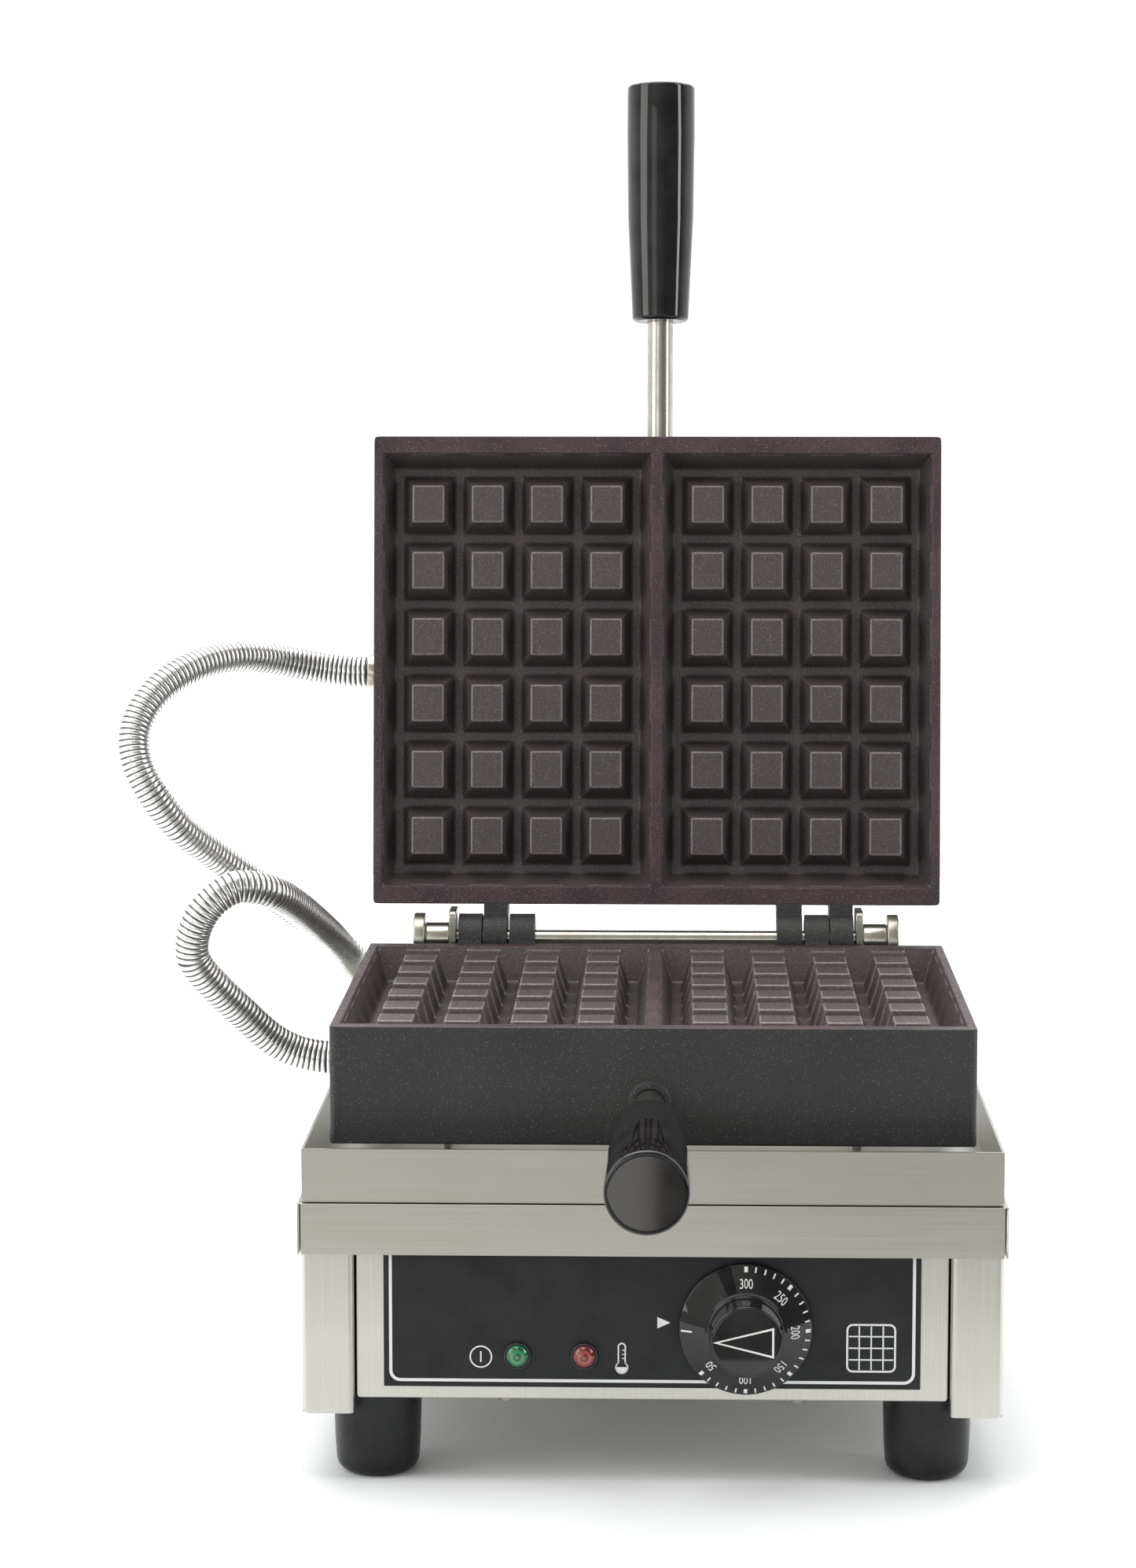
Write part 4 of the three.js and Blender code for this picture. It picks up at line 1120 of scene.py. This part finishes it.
def buildLamps():
    lens = {"power": ("#04562a", "#1fae6a"), "heat": ("#6a1513", "#c4544c")}
    for name, (deep, bright) in lens.items():
        bodyLow, bodyHigh = boxOf(name + "_lamp_body")
        low, high, centre = axisOf(name + "_lamp_lens", "y")
        radius = (high.x - low.x) / 2
        bezelRadius = (bodyHigh.x - bodyLow.x) / 2
        bm = bmesh.new()
        bezel = filleted([(0, high.y + 0.2), (radius + 0.2, high.y + 0.2),
                          (radius + 0.2, bodyLow.y + 0.1, 0.1), (bezelRadius, bodyLow.y + 0.1, 0.3),
                          (bezelRadius, low.y + 3.2), (3.3, low.y + 3.2), (3.3, bodyHigh.y),
                          (0, bodyHigh.y)], 4, closed=False)
        addTurned(bm, bezel, alongY, centre)
        finishPiece(name + "_lamp_bezel", bm, [blackAbs], name + "_lamp_body")
        bm = bmesh.new()
        dome = filleted([(0, low.y), (radius * 0.28, low.y + 0.02, 0.3), (radius * 0.36, low.y + 0.35, 0.2),
                         (radius * 0.7, low.y + 0.35, 0.4), (radius * 0.95, low.y + 1.3, 0.5),
                         (radius, high.y), (0, high.y)], 4, closed=False)
        addTurned(bm, dome, alongY, centre)
        glass = lensPlastic("polystyreneLens" + name.capitalize(), deep, bright, centre)
        finishPiece(name + "_lamp_glass", bm, [glass], name + "_lamp_lens", sharpAngle=60)


buildPrint()
buildDial()
buildLamps()
print("controls built")

# CAD nodes that keep their own shape
finishes = {"control_overlay": film, "bottom_plate": brushedAcross, "thermostat_body": steatite,
            "safety_thermostat": blackAbs, "terminal_block": steatite, "thermostat_spindle": brightBar,
            "rest_pin_left": plated, "rest_pin_right": plated}
for prefix in mouldPlaces:
    finishes.update({prefix + "_heating_element": plated, prefix + "_insulation": wool,
                     prefix + "_cover": plated})
for node, material in finishes.items():
    for holder in frame["nodes"][node].material_slots:
        holder.material = material

# studio
# the paper lies flat, so the machine can be looked at from behind as well, and ends just in front of
# it; beyond that end the room falls off from left to right, which the steel fronts mirror
studio = {"floor": 4000, "front": -300, "back": 1500, "white": "#f4f6f7", "world": 1.1, "strip": 4.5,
          "stripX": (-0.14, -0.005), "stripZ": (-0.235, -0.2), "stripEdge": 0.0005,
          "roomLeft": "#cfcdc8", "roomRight": "#807e7c"}
bm = bmesh.new()
edge, front, back = studio["floor"], studio["front"], studio["back"]
paperCorners = ((-edge, front), (edge, front), (edge, back), (-edge, back))
bm.faces.new([bm.verts.new((x, y, 0)) for x, y in paperCorners])
floorPaper = newPiece("floor_paper", bm, [newMaterial("paperSeamlessWhite", studio["white"], 0.9)[0]])

world = bpy.data.worlds.new("studio")
world.use_nodes = True
bpy.context.scene.world = world
sky = world.node_tree
direction = addNode(sky, "ShaderNodeSeparateXYZ", None,
                    {0: addNode(sky, "ShaderNodeTexCoord").outputs["Generated"]})
room = mixed(sky, ranged(sky, direction.outputs["X"], -0.3, 0.3, 0, 1), studio["roomLeft"],
             studio["roomRight"])
glow = mixed(sky, ranged(sky, direction.outputs["Y"], -0.2, 0.3, 0, 1), room, "#ffffff")
# a narrow strip of light with a sharp end, low in the room: the glossy end of the lower grip mirrors it
strip = 1
edge = studio["stripEdge"]
for axis, (low, high) in (("X", studio["stripX"]), ("Z", studio["stripZ"])):
    strip = product(sky, strip, ranged(sky, direction.outputs[axis], low - edge, low + edge, 0, 1))
    strip = product(sky, strip, ranged(sky, direction.outputs[axis], high - edge, high + edge, 1, 0))
strip = product(sky, strip, ranged(sky, direction.outputs["Y"], -0.1, -0.2, 0, 1))
lit = addNode(sky, "ShaderNodeMath", {"operation": "MULTIPLY_ADD"}, {0: strip, 1: studio["strip"], 2: 1})
glow = addNode(sky, "ShaderNodeVectorMath", {"operation": "SCALE"},
               {0: glow, "Scale": lit.outputs[0]}).outputs[0]
sky.links.new(glow, sky.nodes["Background"].inputs["Color"])
sky.nodes["Background"].inputs["Strength"].default_value = studio["world"]

lights = {
    "overhead": {"at": (-0.35, 0.2, 2.0), "aim": (0, 0.05, 0.15), "size": (2.0, 1.6), "power": 26,
                 "tint": "#ffffff"},
    "left": {"at": (-1.7, -0.7, 0.9), "aim": (0, 0, 0.2), "size": (0.9, 1.7), "power": 14, "tint": "#ffffff"},
    "front": {"at": (-0.95, -2.0, 0.75), "aim": (0, 0, 0.15), "size": (0.7, 1.1), "power": 2,
              "tint": "#f7faff"},
    "right": {"at": (1.5, -0.4, 0.9), "aim": (0, 0, 0.25), "size": (0.3, 1.7), "power": 11,
              "tint": "#ffffff"},
    "back": {"at": (0, 1.2, 1.6), "aim": (0, 1.5, 0.4), "size": (2.4, 0.8), "power": 26, "tint": "#ffffff"},
    "under": {"at": (0, -1.4, 0.25), "aim": (0, 0, 0.0), "size": (1.6, 0.3), "power": 2, "tint": "#dcebf5"}}
for name, light in lights.items():
    data = bpy.data.lights.new(name, "AREA")
    data.shape = "RECTANGLE"
    data.size, data.size_y = light["size"]
    data.energy = light["power"]
    data.color = linear(light["tint"])[:3]
    lamp = bpy.data.objects.new(name, data)
    lamp.location = light["at"]
    lamp.rotation_euler = (Vector(light["aim"]) - Vector(light["at"])).to_track_quat("-Z", "Y").to_euler()
    bpy.context.scene.collection.objects.link(lamp)
bpy.context.scene.view_settings.view_transform = "Standard"
print("studio set")
